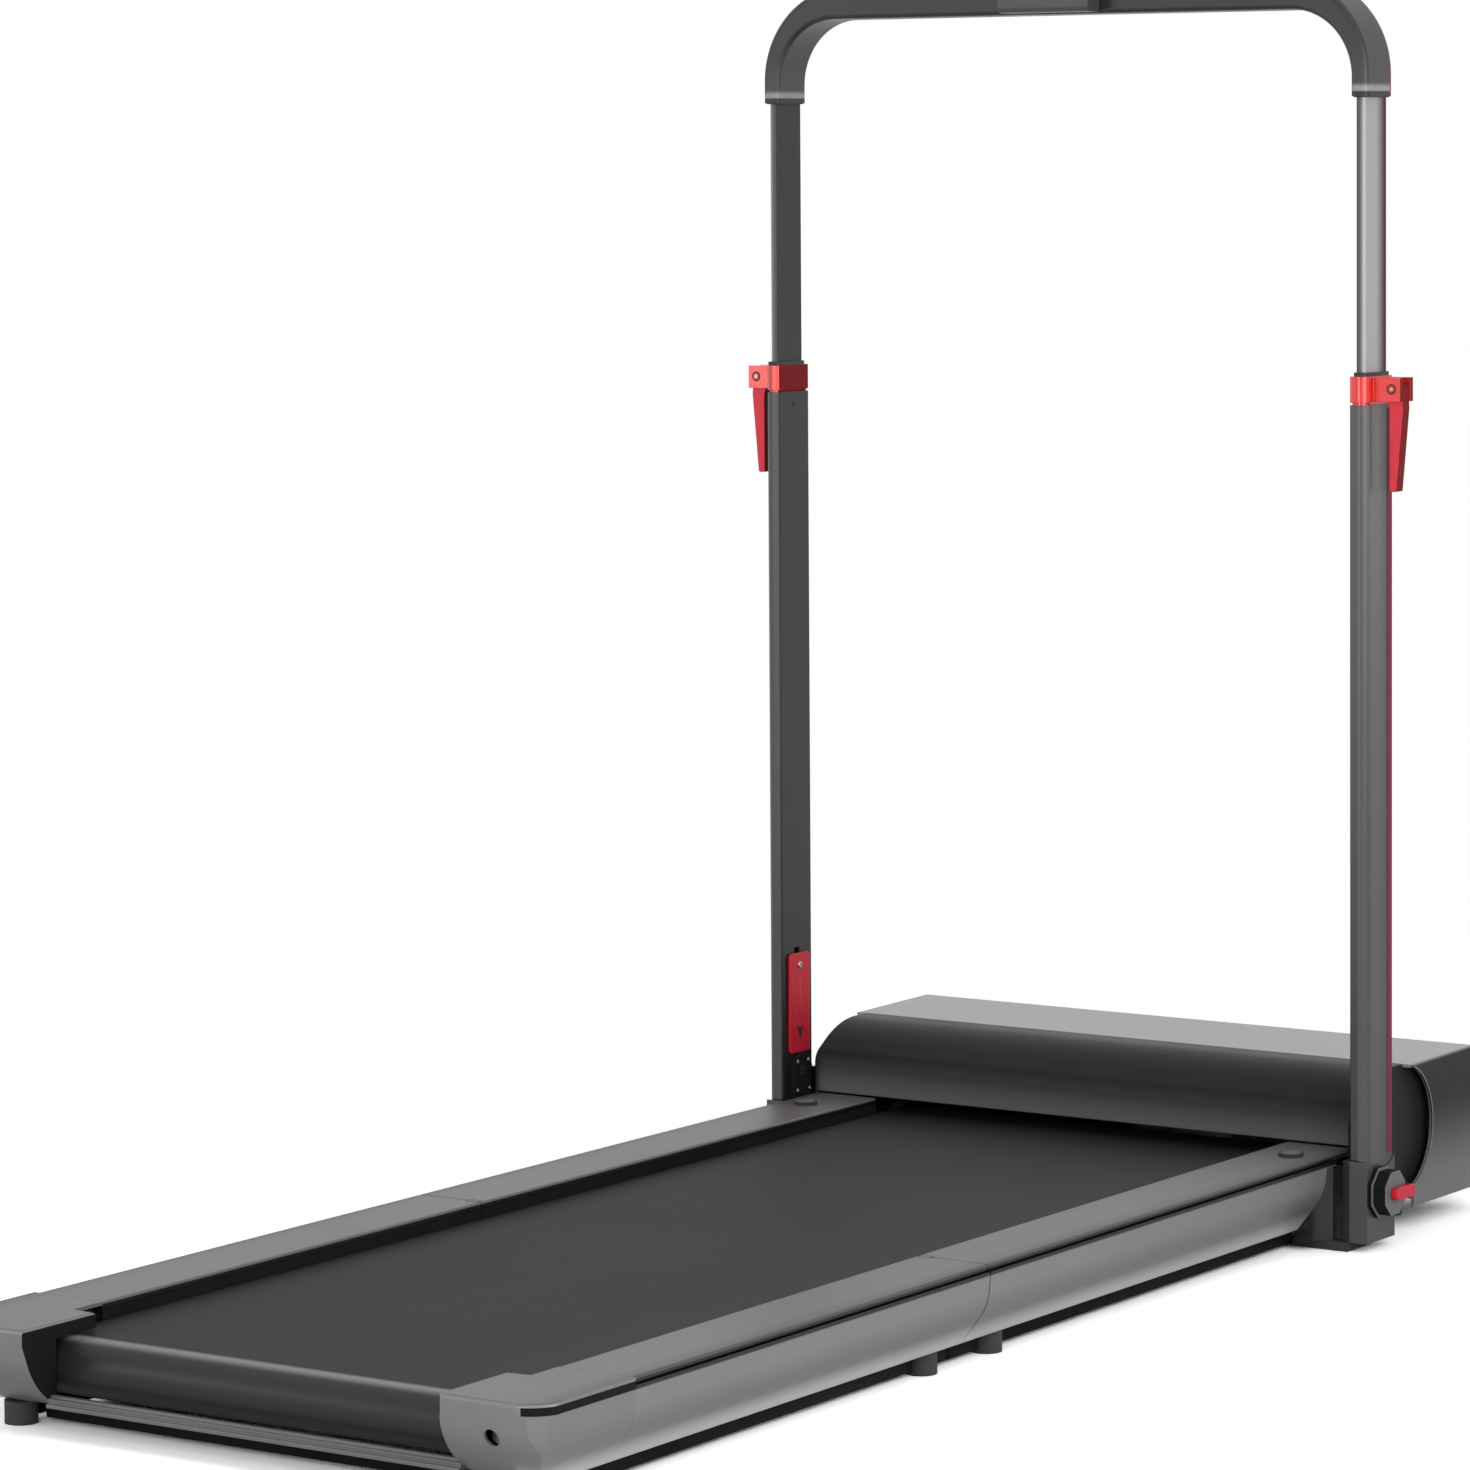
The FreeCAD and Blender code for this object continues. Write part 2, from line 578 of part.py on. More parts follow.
circuit_x = span(d.circuit_place, d.circuit_width)
circuit_y = (crease + 40, hood_back - 30)
sink_x = span(d.circuit_place, d.sink_width)
sink_y = (circuit_y[0] + 16, circuit_y[1] - 16)
circuit_low = pan_top + d.standoff
posts = [rod("Z", x, y, 4, pan_top, circuit_low) for x in (circuit_x[0] + 8, circuit_x[1] - 8)
         for y in (circuit_y[0] + 8, circuit_y[1] - 8)]
fins = [box(sink_x, (y, y + 2), (circuit_low + 7, circuit_low + 7 + d.sink_height))
        for y in (sink_y[0], (sink_y[0] + sink_y[1]) / 2 - 1, sink_y[1] - 2)]
keep("control_board", fuse(*posts, box(circuit_x, circuit_y, (circuit_low, circuit_low + 2)),
                           box(sink_x, sink_y, (circuit_low + 2, circuit_low + 7)), *fins))

socket_room = box((inlet_x[0] + 3, inlet_x[1] - 3), (hood_back - 17, head + 1),
                  (inlet_z[0] + 3, inlet_z[1] - 3))
blades = [box(span(d.inlet_place + step * 6, 2), (hood_back - 18, hood_back - 6),
              span(d.inlet_height, 4)) for step in (-1, 0, 1)]
keep("power_inlet", fuse(cut(fuse(box(inlet_x, (hood_back - 28, hood_back), inlet_z),
                                  box((inlet_x[0] - 3, inlet_x[1] + 3), (hood_back, head),
                                      (inlet_z[0] - 3, inlet_z[1] + 3))), socket_room), *blades))

rocker_y = head - 6
window_half = d.rocker_half + d.rocker_slip * 3
window = box(span(d.switch_place, d.rocker_width + d.rocker_slip * 2), (rocker_y - 8, head + 1),
             (d.inlet_height - window_half, d.inlet_height + window_half))
rocker_stub = d.rocker_width + 4
keep("switch_frame", cut(
    fuse(box(switch_x, (hood_back - 20, hood_back), switch_z),
         box((switch_x[0] - 3, switch_x[1] + 3), (hood_back, head),
             (switch_z[0] - 2, switch_z[1] + 2))), window,
    rod("X", rocker_y, d.inlet_height, 1.55, *span(d.switch_place, rocker_stub + 0.4))))
rocker_form = prism("YZ", [(rocker_y - 4, d.inlet_height - d.rocker_half),
                           (rocker_y - 4, d.inlet_height + d.rocker_half),
                           (rocker_y + 2.2, d.inlet_height + d.rocker_half),
                           (rocker_y + 4, d.inlet_height),
                           (rocker_y + 5.6, d.inlet_height - d.rocker_half)],
                    *span(d.switch_place, d.rocker_width))
keep("power_rocker", fuse(rocker_form, rod("X", rocker_y, d.inlet_height, 1.5,
                                           *span(d.switch_place, rocker_stub))))


# feet, bumpers and the fold hinge

def foot(x, y, top):
    return rod("Z", x, y, d.foot_radius, 0, top)


rail_foot_x = rail_in + d.foot_radius + 1
sole_out = cheek_in + d.sole_lap
sole = box((sole_out - d.sole_width, sole_out), (rail_end - 2, rail_end - 2 + d.sole_length),
           (0, d.bracket_base))
keep("front_feet", both(foot(rail_foot_x, seam + d.seam_foot_front, d.foot_height),
                        foot(rail_foot_x, head - d.head_foot, d.pan_height), sole))
keep("rear_feet", both(foot(rail_foot_x, seam - d.seam_foot_rear, d.foot_height),
                       foot(rail_foot_x, tail + d.tail_foot, d.foot_height)))
keep("fold_bumpers", both(rod("Z", rail_in + 25, column_y - d.bumper_setback, d.bumper_radius,
                              rail_top, rail_top + d.bumper_height)))

knuckle_split = guide_out + 1 + (d.channel_width - d.guide_thickness - 1) / 2


def leaf(x, web, reach, bore):
    """One hinge leaf in the channel beside the rail, with its knuckle on the fold axis."""
    strap = box((guide_out + 1, rail_in), reach, (board_top + 1, rail_body_top - 0.4))
    post = box(x, web, (rail_body_top - 1, hinge_z))
    eye = rod("X", seam, hinge_z, d.knuckle_radius, *x)
    return cut(fuse(strap, post, eye), rod("X", seam, hinge_z, bore, x[0] - 1, x[1] + 1))


front_eye = (guide_out + 1.2, knuckle_split - 0.2)
rear_eye = (knuckle_split + 0.2, rail_in - 0.2)
front_leaf = leaf(front_eye, (seam + 1, seam + d.knuckle_radius), (seam + 1, seam + d.leaf_length),
                  d.hinge_pin_radius + d.bearing_slip)
rear_leaf = fuse(leaf(rear_eye, (seam - d.knuckle_radius, seam - 1),
                      (seam - d.leaf_length, seam - 1), d.hinge_pin_radius),
                 rod("X", seam, hinge_z, d.hinge_pin_radius, front_eye[0], rear_eye[1]))
keep("front_hinge_leaves", both(front_leaf))
keep("rear_hinge_leaves", both(rear_leaf))


# tail caps, guard and belt tension bolts

def cap_form(inset):
    """The cap's rounded plan, trimmed to the rail's tucked side and the tail's round underside."""
    low, inner, out = tail + inset, cap_inner + inset, rail_out + 1 - inset
    plan = prism("XY", [(inner, cap_start), (inner, low), (out, low), (out, cap_start)],
                 d.foot_height + inset, rail_top - inset,
                 [(1, d.cap_edge), (2, d.cap_corner - inset)])
    brow_z = rail_top - d.cap_brow
    wide = (inner - 1, out + 1)
    under = cut(box(wide, (tail - 1, tail + d.cap_round), (d.foot_height - d.cap_round, brow_z)),
                rod("X", tail + d.cap_round, brow_z, d.cap_round - inset, wide[0] - 1, wide[1] + 1))
    return cut(common(plan, side_form(inner, rail_top - inset, low, cap_start + inset, inset)), under)


belt_room = box((cap_inner - 1, roller_end + 1.5), (rear_roller_y - belt_radius - 1.5,
                                                     cap_start + 1), (0, belt_top + 2))
lip_end = box((cap_inner - 1, cover_in), (tail + d.lip_length, cap_start + 1), (0, rail_top + 1))
bolt_low = tail + d.bolt_setback
bolt_access = rod("Y", bolt_x, d.bolt_height, d.bolt_hole, tail - 1, bolt_low + 3)
keep_pair("tail_cap", cut(cap_form(size(0)), cap_form(d.shell_wall), belt_room, lip_end,
                          bolt_access))
guard_y = tail + d.guard_setback
guard_z = d.foot_height + d.guard_rise
ridge = d.guard_ridge
keep("tail_guard", prism("YZ", [(guard_y, guard_z), (guard_y, guard_z + ridge),
                                (guard_y + ridge, guard_z + ridge * 1.2),
                                (guard_y + ridge * 0.8, guard_z + ridge * 2.2),
                                (guard_y + ridge * 1.8, guard_z + ridge * 2.4),
                                (guard_y + ridge * 1.8, guard_z + d.guard_height),
                                (guard_y + d.guard_depth, guard_z + d.guard_height),
                                (guard_y + d.guard_depth, guard_z)], -cap_inner, cap_inner))
hex_key = polygon_bar(6, "Y", bolt_x, d.bolt_height, d.bolt_radius, bolt_low - 1, bolt_low + 5)
bolt = cut(fuse(rod("Y", bolt_x, d.bolt_height, d.bolt_head, bolt_low, bolt_low + 7),
                rod("Y", bolt_x, d.bolt_height, d.bolt_radius, bolt_low,
                    slide_low - d.running_gap / 2)), hex_key)
keep("tension_bolts", both(bolt))


# column brackets, pivots and gussets

bracket_y = span(column_y, d.bracket_depth)
block_top = pivot_z - d.column_depth / 2 - d.fold_gap
block = cut(box((cheek_in, bracket_out), bracket_y, (d.bracket_base, block_top)),
            rod("X", column_y, pivot_z, d.foot_arc + d.hinge_gap, cheek_out, bracket_out + 1))
cheek_round = d.latch_rise - d.fold_gap
cheek = fuse(box((cheek_in, cheek_out), (column_y - cheek_round, bracket_y[1]),
                 (d.bracket_base, pivot_z)),
             rod("X", column_y, pivot_z, cheek_round, cheek_in, cheek_out))
knob_y = column_y - d.knob_setback
shaft_low = cheek_out + 4
bracket = cut(fuse(block, cheek),
              rod("X", column_y, pivot_z, d.pivot_radius, cheek_in - 1, cheek_out + 1))
knob_bore = rod("X", knob_y, d.knob_height, d.knob_shaft + d.bearing_slip, shaft_low - 0.5,
                bracket_out + 1)
keep("column_bracket_right", cut(bracket, knob_bore))
keep("column_bracket_left", mirror(bracket))
pin_end = column_out - d.column_wall - 0.5
keep("pivot_pins", both(rod("X", column_y, pivot_z, d.pivot_radius, cheek_in, pin_end)))

gusset_end = rail_end + d.gusset_back
gusset_form = prism("YZ", [(wedge_low + 3, d.bracket_base), (wedge_low + 3, d.foot_height - 1),
                           (wedge_high + 0.5, wedge_top - 0.5), (gusset_end, wedge_top - 0.5),
                           (gusset_end, d.bracket_base)], wedge_in + 0.5, cheek_in)
hollow_curve = rod("Z", cheek_in + 2, wedge_low, d.gusset_curve, 0, rail_top)
slot_room = box((cheek_in - d.gusset_slot, cheek_in + 1), (wedge_low, gusset_end - 2), (0, rail_top))
keep("column_gussets", both(cut(gusset_form, hollow_curve, slot_room)))

# fold lock knob of the right column
rim_low = bracket_out + d.running_gap
rim_high = rim_low + d.knob_rim_width
grip_high = rim_high + d.knob_grip_width
keep("fold_knob", fuse(polygon_bar(8, "X", knob_y, d.knob_height, d.knob_rim, rim_low, rim_high),
                       polygon_bar(8, "X", knob_y, d.knob_height, d.knob_grip, rim_high, grip_high),
                       rod("X", knob_y, d.knob_height, d.knob_shaft, shaft_low, rim_low)))
wing_y = (knob_y - 9, knob_y - 9 + d.wing_length)
wing_z = span(d.knob_height, d.wing_width)
keep("knob_wing", prism("YZ", [(wing_y[0], wing_z[0]), (wing_y[1], wing_z[0]),
                               (wing_y[1], wing_z[1]), (wing_y[0], wing_z[1])],
                        grip_high, grip_high + d.wing_depth,
                        [(corner, 4.5) for corner in range(4)]))


# columns, clamp collars and levers

def plan_tube(x, y, radii, low, high):
    """A standing bar; radii round its inner front, outer front, outer rear and inner rear."""
    outline = [(x[0], y[0]), (x[1], y[0]), (x[1], y[1]), (x[0], y[1])]
    return prism("XY", outline, low, high, list(enumerate(radii)))


def inner_pair(pair, gap):
    return (pair[0] + gap, pair[1] - gap)


column_spans = (span(column_x, d.column_width), span(column_y, d.column_depth))
column_radii = (d.column_corner, d.column_round, d.column_rear, d.column_corner)
cavity = tuple(inner_pair(pair, d.column_wall) for pair in column_spans)
cavity_radii = [radius - d.column_wall for radius in column_radii]
tube_radii = (d.tube_corner, d.tube_round, d.tube_corner, d.tube_corner)
column_low = pivot_z - d.foot_arc
lug_top = pivot_z + d.lug_height
outside_arc = cut(box((column_in - 1, column_out + 1), span(column_y, d.column_depth + 20),
                      (column_low - 5, pivot_z)),
                  rod("X", column_y, pivot_z, d.foot_arc, column_in - 2, column_out + 2))
latch_low = pivot_z + d.latch_rise
tongue_low = lug_top + 10
tongue_y = span(column_y, d.tongue_width)
slot = box((column_in - 1, column_in + d.column_wall + 1), inner_pair(tongue_y, -0.4),
           (tongue_low - 1, tongue_low + d.tongue_height + d.latch_travel + 1.5))
column = cut(plan_tube(*column_spans, column_radii, column_low, d.column_top),
             plan_tube(*cavity, cavity_radii, lug_top, d.column_top + 1), outside_arc,
             rod("X", column_y, pivot_z, d.pivot_radius + d.bearing_slip, column_in - 1,
                 pin_end + 0.3))
keep("column_right", column)
keep("column_left", mirror(cut(column, slot)))

collar_low = d.column_top + d.collar_gap
collar_top = collar_low + d.collar_height
tube_spans = (span(column_x, d.tube_width), span(column_y, d.tube_depth))
passage = plan_tube(*[inner_pair(pair, -d.tube_slip) for pair in tube_spans], tube_radii,
                    d.column_top - d.neck_depth - 1, collar_top + 1)
ear_x = (column_out - 1, column_out + d.ear_reach)
ear_y = span(column_y, d.ear_width)
lever_y = inner_pair(ear_y, d.ear_thickness)
pin_x = column_out + d.pin_offset
pin_z = d.column_top + d.pin_rise
ears = cut(box(ear_x, ear_y, (collar_low + 1, collar_top - 1)),
           box((column_out + d.ear_back, ear_x[1] + 1), lever_y, (collar_low, collar_top)))
neck = plan_tube(*cavity, cavity_radii, d.column_top - d.neck_depth, collar_low + 1)
collar = cut(fuse(plan_tube(*column_spans, column_radii, collar_low, collar_top), neck, ears),
             passage)
lever_pin = rod("Y", pin_x, pin_z, d.pin_radius, ear_y[0] - 0.5, ear_y[1] + 0.5)
keep_pair("clamp_collar", fuse(collar, lever_pin))

arm_y = inner_pair(lever_y, d.lever_gap)
arm_low = pin_z - d.lever_length
arm_out = ear_x[1] - d.lever_inset
arm_in = arm_out - d.lever_thickness
tip_out = arm_out - d.lever_lean
tip_in = tip_out - d.lever_tip
arm = prism("XZ", [(arm_in, pin_z), (arm_out, pin_z), (arm_out, pin_z - d.lever_head * 2),
                   (tip_out, arm_low), (tip_in, arm_low), (arm_in, pin_z - d.lever_head * 2)],
            *arm_y, [(3, 2.5), (4, 2.0)])
inner_side = column_out + d.lever_room
rib_top = pin_z - d.lever_head * 2
rib = box((inner_side, arm_in + 1), span(column_y, d.ear_width / 3),
          (rib_top - d.rib_length, rib_top))
catch = box((inner_side, tip_in + 2), span(column_y, d.ear_width / 2),
            (arm_low, arm_low + d.catch_length))
keep_pair("clamp_lever", cut(
    fuse(arm, rod("Y", pin_x, pin_z, d.lever_head, *arm_y), rib, catch),
    rod("Y", pin_x, pin_z, d.pin_radius + d.bearing_slip, arm_y[0] - 1, arm_y[1] + 1)))

latch_x = (column_in - d.lever_gap - d.latch_thickness, column_in - d.lever_gap)
latch_front = column_y - d.column_depth / 2 + d.latch_setback
latch_y = (latch_front, latch_front + d.latch_width)
tongue_z = (tongue_low, tongue_low + d.tongue_height)
inside_wall = column_in + d.column_wall
keep("latch_slider", mirror(fuse(
    prism("YZ", [(latch_y[0], latch_low), (latch_y[1], latch_low),
                 (latch_y[1], latch_low + d.latch_height), (latch_y[0], latch_low
                                                            + d.latch_height)],
          *latch_x, [(corner, 4.0) for corner in range(4)]),
    box((latch_x[1] - 1, inside_wall + 2.5), tongue_y, tongue_z),
    box((inside_wall + 0.4, inside_wall + 2.5), span(column_y, d.tongue_width * 2), tongue_z))))


# telescopic tubes, handle and console

shoe_low = d.column_top - d.tube_overlap
sleeve_bottom = d.handle_top - d.sleeve_drop
tube_top = sleeve_bottom + d.sleeve_grip
tube = cut(fuse(plan_tube(*tube_spans, tube_radii, shoe_low, tube_top),
                plan_tube(*[inner_pair(pair, d.tube_slip) for pair in cavity], cavity_radii,
                          shoe_low, shoe_low + d.shoe_height)),
           plan_tube(*[inner_pair(pair, d.tube_wall) for pair in tube_spans],
                     [radius / 2 for radius in tube_radii], shoe_low - 1, tube_top + 1))
keep_pair("upper_tube", tube)

handle_y = span(column_y, d.handle_depth)
handle_low = d.handle_top - d.handle_height
bend_in = column_out - d.bend_reach
bend = prism("XZ", [(bend_in, d.handle_top), (column_out, d.handle_top),
                    (column_out, sleeve_bottom), (column_in, sleeve_bottom),
                    (column_in, handle_low), (bend_in, handle_low)], *handle_y,
             [(1, d.bend_outer), (4, d.bend_inner)],
             (d.handle_edge, lambda spot: spot.z > sleeve_bottom.value + 1
              and spot.x > bend_in.value + 1))
socket = plan_tube(*tube_spans, tube_radii, sleeve_bottom - 1, tube_top)
keep_pair("handle_bend", cut(bend, socket))
keep("handle_bar", prism("YZ", [(handle_y[0], handle_low), (handle_y[1], handle_low),
                                (handle_y[1], d.handle_top), (handle_y[0], d.handle_top)],
                         -bend_in, bend_in, [(corner, d.handle_edge) for corner in range(4)]))
console_z = (handle_low + d.console_margin, d.handle_top - d.console_margin)
keep("console_pod", prism("YZ", [(handle_y[0] - d.console_depth, console_z[0]),
                                 (handle_y[0], console_z[0]), (handle_y[0], console_z[1]),
                                 (handle_y[0] - d.console_depth, console_z[1])],
                          *span(0, d.console_width), [(0, 6.0), (3, 6.0)]))


# check the document and write one file for each sub-part

doc.recompute()
faults = [item.Label for item in doc.Objects
          if "Invalid" in item.State or "Error" in item.State]
faults += [label for label, item in parts.items()
           if item.Shape.isNull() or not item.Shape.isValid() or not item.Shape.Solids]
if faults:
    raise RuntimeError("bad pieces: " + ", ".join(faults))
os.makedirs("parts", exist_ok=True)
for label, item in parts.items():
    item.Shape.exportStep("parts/%s.step" % label)
    print("%-20s %2d solid, %9.1f mm3" % (label, len(item.Shape.Solids), item.Shape.Volume))
print(len(parts), "pieces")
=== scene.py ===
"""Looks of a folding walking pad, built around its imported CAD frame.

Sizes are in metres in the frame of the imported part: X to the right of the
walker, Y towards the motor hood, Z up from the floor.
"""

import json
import logging
import math
from abc import ABC, abstractmethod
from dataclasses import dataclass
from enum import Enum
from typing import Any, Callable, Optional, Sequence, Union

import bmesh
import bpy
from mathutils import Matrix, Vector

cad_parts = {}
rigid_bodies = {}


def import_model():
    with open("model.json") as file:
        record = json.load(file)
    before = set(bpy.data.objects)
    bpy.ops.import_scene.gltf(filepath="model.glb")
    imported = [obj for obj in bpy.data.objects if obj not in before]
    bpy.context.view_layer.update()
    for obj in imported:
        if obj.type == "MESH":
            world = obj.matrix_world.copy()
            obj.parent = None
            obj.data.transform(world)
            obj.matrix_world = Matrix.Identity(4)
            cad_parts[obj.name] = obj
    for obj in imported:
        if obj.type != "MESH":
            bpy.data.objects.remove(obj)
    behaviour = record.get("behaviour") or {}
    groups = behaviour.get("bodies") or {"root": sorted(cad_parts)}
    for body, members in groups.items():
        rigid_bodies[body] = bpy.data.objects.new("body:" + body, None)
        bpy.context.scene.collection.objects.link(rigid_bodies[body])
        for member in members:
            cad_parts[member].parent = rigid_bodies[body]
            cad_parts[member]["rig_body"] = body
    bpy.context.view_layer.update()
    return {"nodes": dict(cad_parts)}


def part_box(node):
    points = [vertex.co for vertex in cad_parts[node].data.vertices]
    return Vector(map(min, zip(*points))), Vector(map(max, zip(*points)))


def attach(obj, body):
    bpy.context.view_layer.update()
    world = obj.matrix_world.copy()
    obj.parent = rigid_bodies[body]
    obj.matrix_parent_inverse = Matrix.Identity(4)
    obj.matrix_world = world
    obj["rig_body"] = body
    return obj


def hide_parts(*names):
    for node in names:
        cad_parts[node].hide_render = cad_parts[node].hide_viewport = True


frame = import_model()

LOG = logging.getLogger("walking_pad")
Colour = tuple[float, float, float, float]
Point = tuple[float, float, float]
Flat = tuple[float, float]
Spot = tuple[Point, Point]
WELD = 2e-5            # points nearer than this are one
PLANE_ANGLE = 0.5      # degrees between faces that count as one plane
BACK: Point = (0.0, 1.0, 0.0)
UP: Point = (0.0, 0.0, 1.0)
ORIGIN: Point = (0.0, 0.0, 0.0)


def tint(code: str) -> Colour:
    """Turn a six-digit screen colour into linear light with full alpha."""
    parts = [int(code[i:i + 2], 16) / 255 for i in (0, 2, 4)]
    light = [p / 12.92 if p <= 0.04045 else ((p + 0.055) / 1.055) ** 2.4 for p in parts]
    return (light[0], light[1], light[2], 1.0)


def scaled(colour: Colour, factor: float, lift: float = 0.0) -> Colour:
    """A linear colour times a factor, plus a lift, and no brighter than white."""
    return tuple(min(1.0, c * factor + lift) for c in colour[:3]) + (1.0,)


def polar(radius: float, angle: float) -> Flat:
    """Plane coordinates of a point at an angle in radians."""
    return radius * math.cos(angle), radius * math.sin(angle)


class Axis(Enum):
    """The direction that a slab or a turned piece stands along."""

    X = 0
    Y = 1
    Z = 2

    def place(self, u: float, v: float, w: float) -> Vector:
        """Put plane coordinates u, v and height w into X, Y, Z."""
        if self is Axis.X:
            return Vector((w, u, v))
        if self is Axis.Y:
            return Vector((v, w, u))
        return Vector((u, v, w))


class Side(Enum):
    """The walker's left or right side, as the sign of X."""

    LEFT = -1
    RIGHT = 1

    @property
    def word(self) -> str:
        """The side's name as it stands in node names."""
        return self.name.lower()

    def span(self, low: float, high: float) -> Flat:
        """A stretch of X, given for the right side, in rising order on this side."""
        return (low, high) if self is Side.RIGHT else (-high, -low)


# ---------------------------------------------------------------- node trees
class Sock:
    """One output socket, with the arithmetic that adds Math nodes."""

    def __init__(self, tree: "Tree", socket: Optional[bpy.types.NodeSocket]) -> None:
        """Keep the socket and the tree it belongs to."""
        self.tree = tree
        self.socket = socket

    def _math(self, operation: str, first: "Value", second: "Value" = 0.0) -> "Sock":
        """Add one Math node on two values or links."""
        return self.tree.node("ShaderNodeMath", {"operation": operation}, {0: first, 1: second})

    def __add__(self, other: "Value") -> "Sock":
        """Sum."""
        return self._math("ADD", self, other)

    __radd__ = __add__

    def __sub__(self, other: "Value") -> "Sock":
        """Difference."""
        return self._math("SUBTRACT", self, other)

    def __rsub__(self, other: "Value") -> "Sock":
        """Difference from a value on the left."""
        return self._math("SUBTRACT", other, self)

    def __mul__(self, other: "Value") -> "Sock":
        """Product."""
        return self._math("MULTIPLY", self, other)

    __rmul__ = __mul__

    def __abs__(self) -> "Sock":
        """Size without sign."""
        return self._math("ABSOLUTE", self)

    def sine(self) -> "Sock":
        """Sine of the value in radians."""
        return self._math("SINE", self)

    def root(self) -> "Sock":
        """Square root of the value."""
        return self._math("SQRT", self)

    def highest(self, other: "Value") -> "Sock":
        """The larger of the two values."""
        return self._math("MAXIMUM", self, other)


Value = Union[float, Sock]


class Tree:
    """A node tree with one method that adds any node."""

    def __init__(self, tree: bpy.types.NodeTree) -> None:
        """Keep the tree."""
        self.tree = tree

    def node(self, kind: str, settings: Optional[dict[str, Any]] = None,
             inputs: Optional[dict[Union[int, str], Any]] = None,
             out: Union[int, str] = 0) -> Sock:
        """Add a node, set it up, then fill its sockets.

        Args:
            kind: the node's type name.
            settings: properties of the node.
            inputs: values or Socks by socket name or number.
            out: the output to return.

        Returns:
            The chosen output.
        """
        made = self.tree.nodes.new(kind)
        for key, value in (settings or {}).items():
            setattr(made, key, value)
        for key, value in (inputs or {}).items():
            if isinstance(value, Sock):
                self.tree.links.new(value.socket, made.inputs[key])
            else:
                made.inputs[key].default_value = value
        return Sock(self, made.outputs[out] if len(made.outputs) else None)

    def rays(self) -> tuple[Sock, Sock]:
        """The camera's rays, and all rays that show what stands behind the object.

        Returns:
            1 for a camera ray, and 1 for a ray from the camera, off gloss or through glass.
        """
        path = self.node("ShaderNodeLightPath").socket.node.outputs
        camera, gloss, glass = (Sock(self, path[f"Is {kind} Ray"])
                                for kind in ("Camera", "Glossy", "Transmission"))
        return camera, (camera + gloss).highest(glass)


class Paint(Tree):
    """The shader tree of one material, with the patterns that finishes share."""

    def __init__(self, name: str) -> None:
        """Start an empty material.

        Args:
            name: the material's name.
        """
        self.material = bpy.data.materials.new(name)
        self.material.use_nodes = True
        super().__init__(self.material.node_tree)
        self.tree.nodes.clear()
        self.spot = self.node("ShaderNodeTexCoord", out="Object")
        split = self.node("ShaderNodeSeparateXYZ", None, {0: self.spot}).socket.node
        self.x, self.y, self.z = (Sock(self, s) for s in split.outputs)

    def _stretched(self, stretch: Point) -> Sock:
        """Object coordinates stretched along the three axes."""
        return self.node("ShaderNodeMapping", None, {"Vector": self.spot, "Scale": stretch})

    def noise(self, scale: float, detail: float = 2.0, stretch: Point = (1, 1, 1)) -> Sock:
        """Cloudy noise around one half, with so many waves in a metre."""
        return self.node("ShaderNodeTexNoise", None,
                         {"Vector": self._stretched(stretch), "Scale": scale, "Detail": detail})

    def cells(self, scale: float) -> Sock:
        """Distance to the nearest of scattered points, scale of them in a metre."""
        return self.node("ShaderNodeTexVoronoi", None,
                         {"Vector": self._stretched((1, 1, 1)), "Scale": scale}, "Distance")

    def band(self, value: Value, low: float, high: float) -> Sock:
        """A smooth step, 0 where the value is low and 1 where it is high."""
        return self.node("ShaderNodeMapRange", {"interpolation_type": "SMOOTHSTEP"},
                         {"Value": value, "From Min": low, "From Max": high})

    def mixed(self, share: Value, first: Any, second: Any) -> Sock:
        """Blend two colours, by the share of the second."""
        return self.node("ShaderNodeMix", {"data_type": "RGBA"}, {0: share, 6: first, 7: second}, 2)

    def over(self, colour: Sock, share: Value, code: str) -> Sock:
        """Lay a screen colour over a colour, by its share."""
        return self.mixed(share, colour, tint(code))

    def relief(self, height: Sock, depth: float, strength: float = 1.0) -> Sock:
        """A bump normal from a height pattern whose 1 stands depth high."""
        return self.node("ShaderNodeBump", None,
                         {"Height": height, "Distance": depth, "Strength": strength})

    def close(self, **sockets: Any) -> None:
        """End in a Principled shader.

        Args:
            sockets: its sockets by name, with _ for a space.
        """
        named = {key.replace("_", " "): value for key, value in sockets.items()}
        shader = self.node("ShaderNodeBsdfPrincipled", None, named)
        self.node("ShaderNodeOutputMaterial", None, {"Surface": shader})


# ------------------------------------------------------------------- finishes
@dataclass(frozen=True)
class Layer:
    """A tone over part of a finish, where its bands are passed.

    The tone is a screen colour, or a factor on the finish's own colour. A band
    says where along |X| or Z the layer begins and where it is full.
    """

    tone: Union[str, float]
    share: float = 1.0
    x: Optional[Flat] = None
    z: Optional[Flat] = None


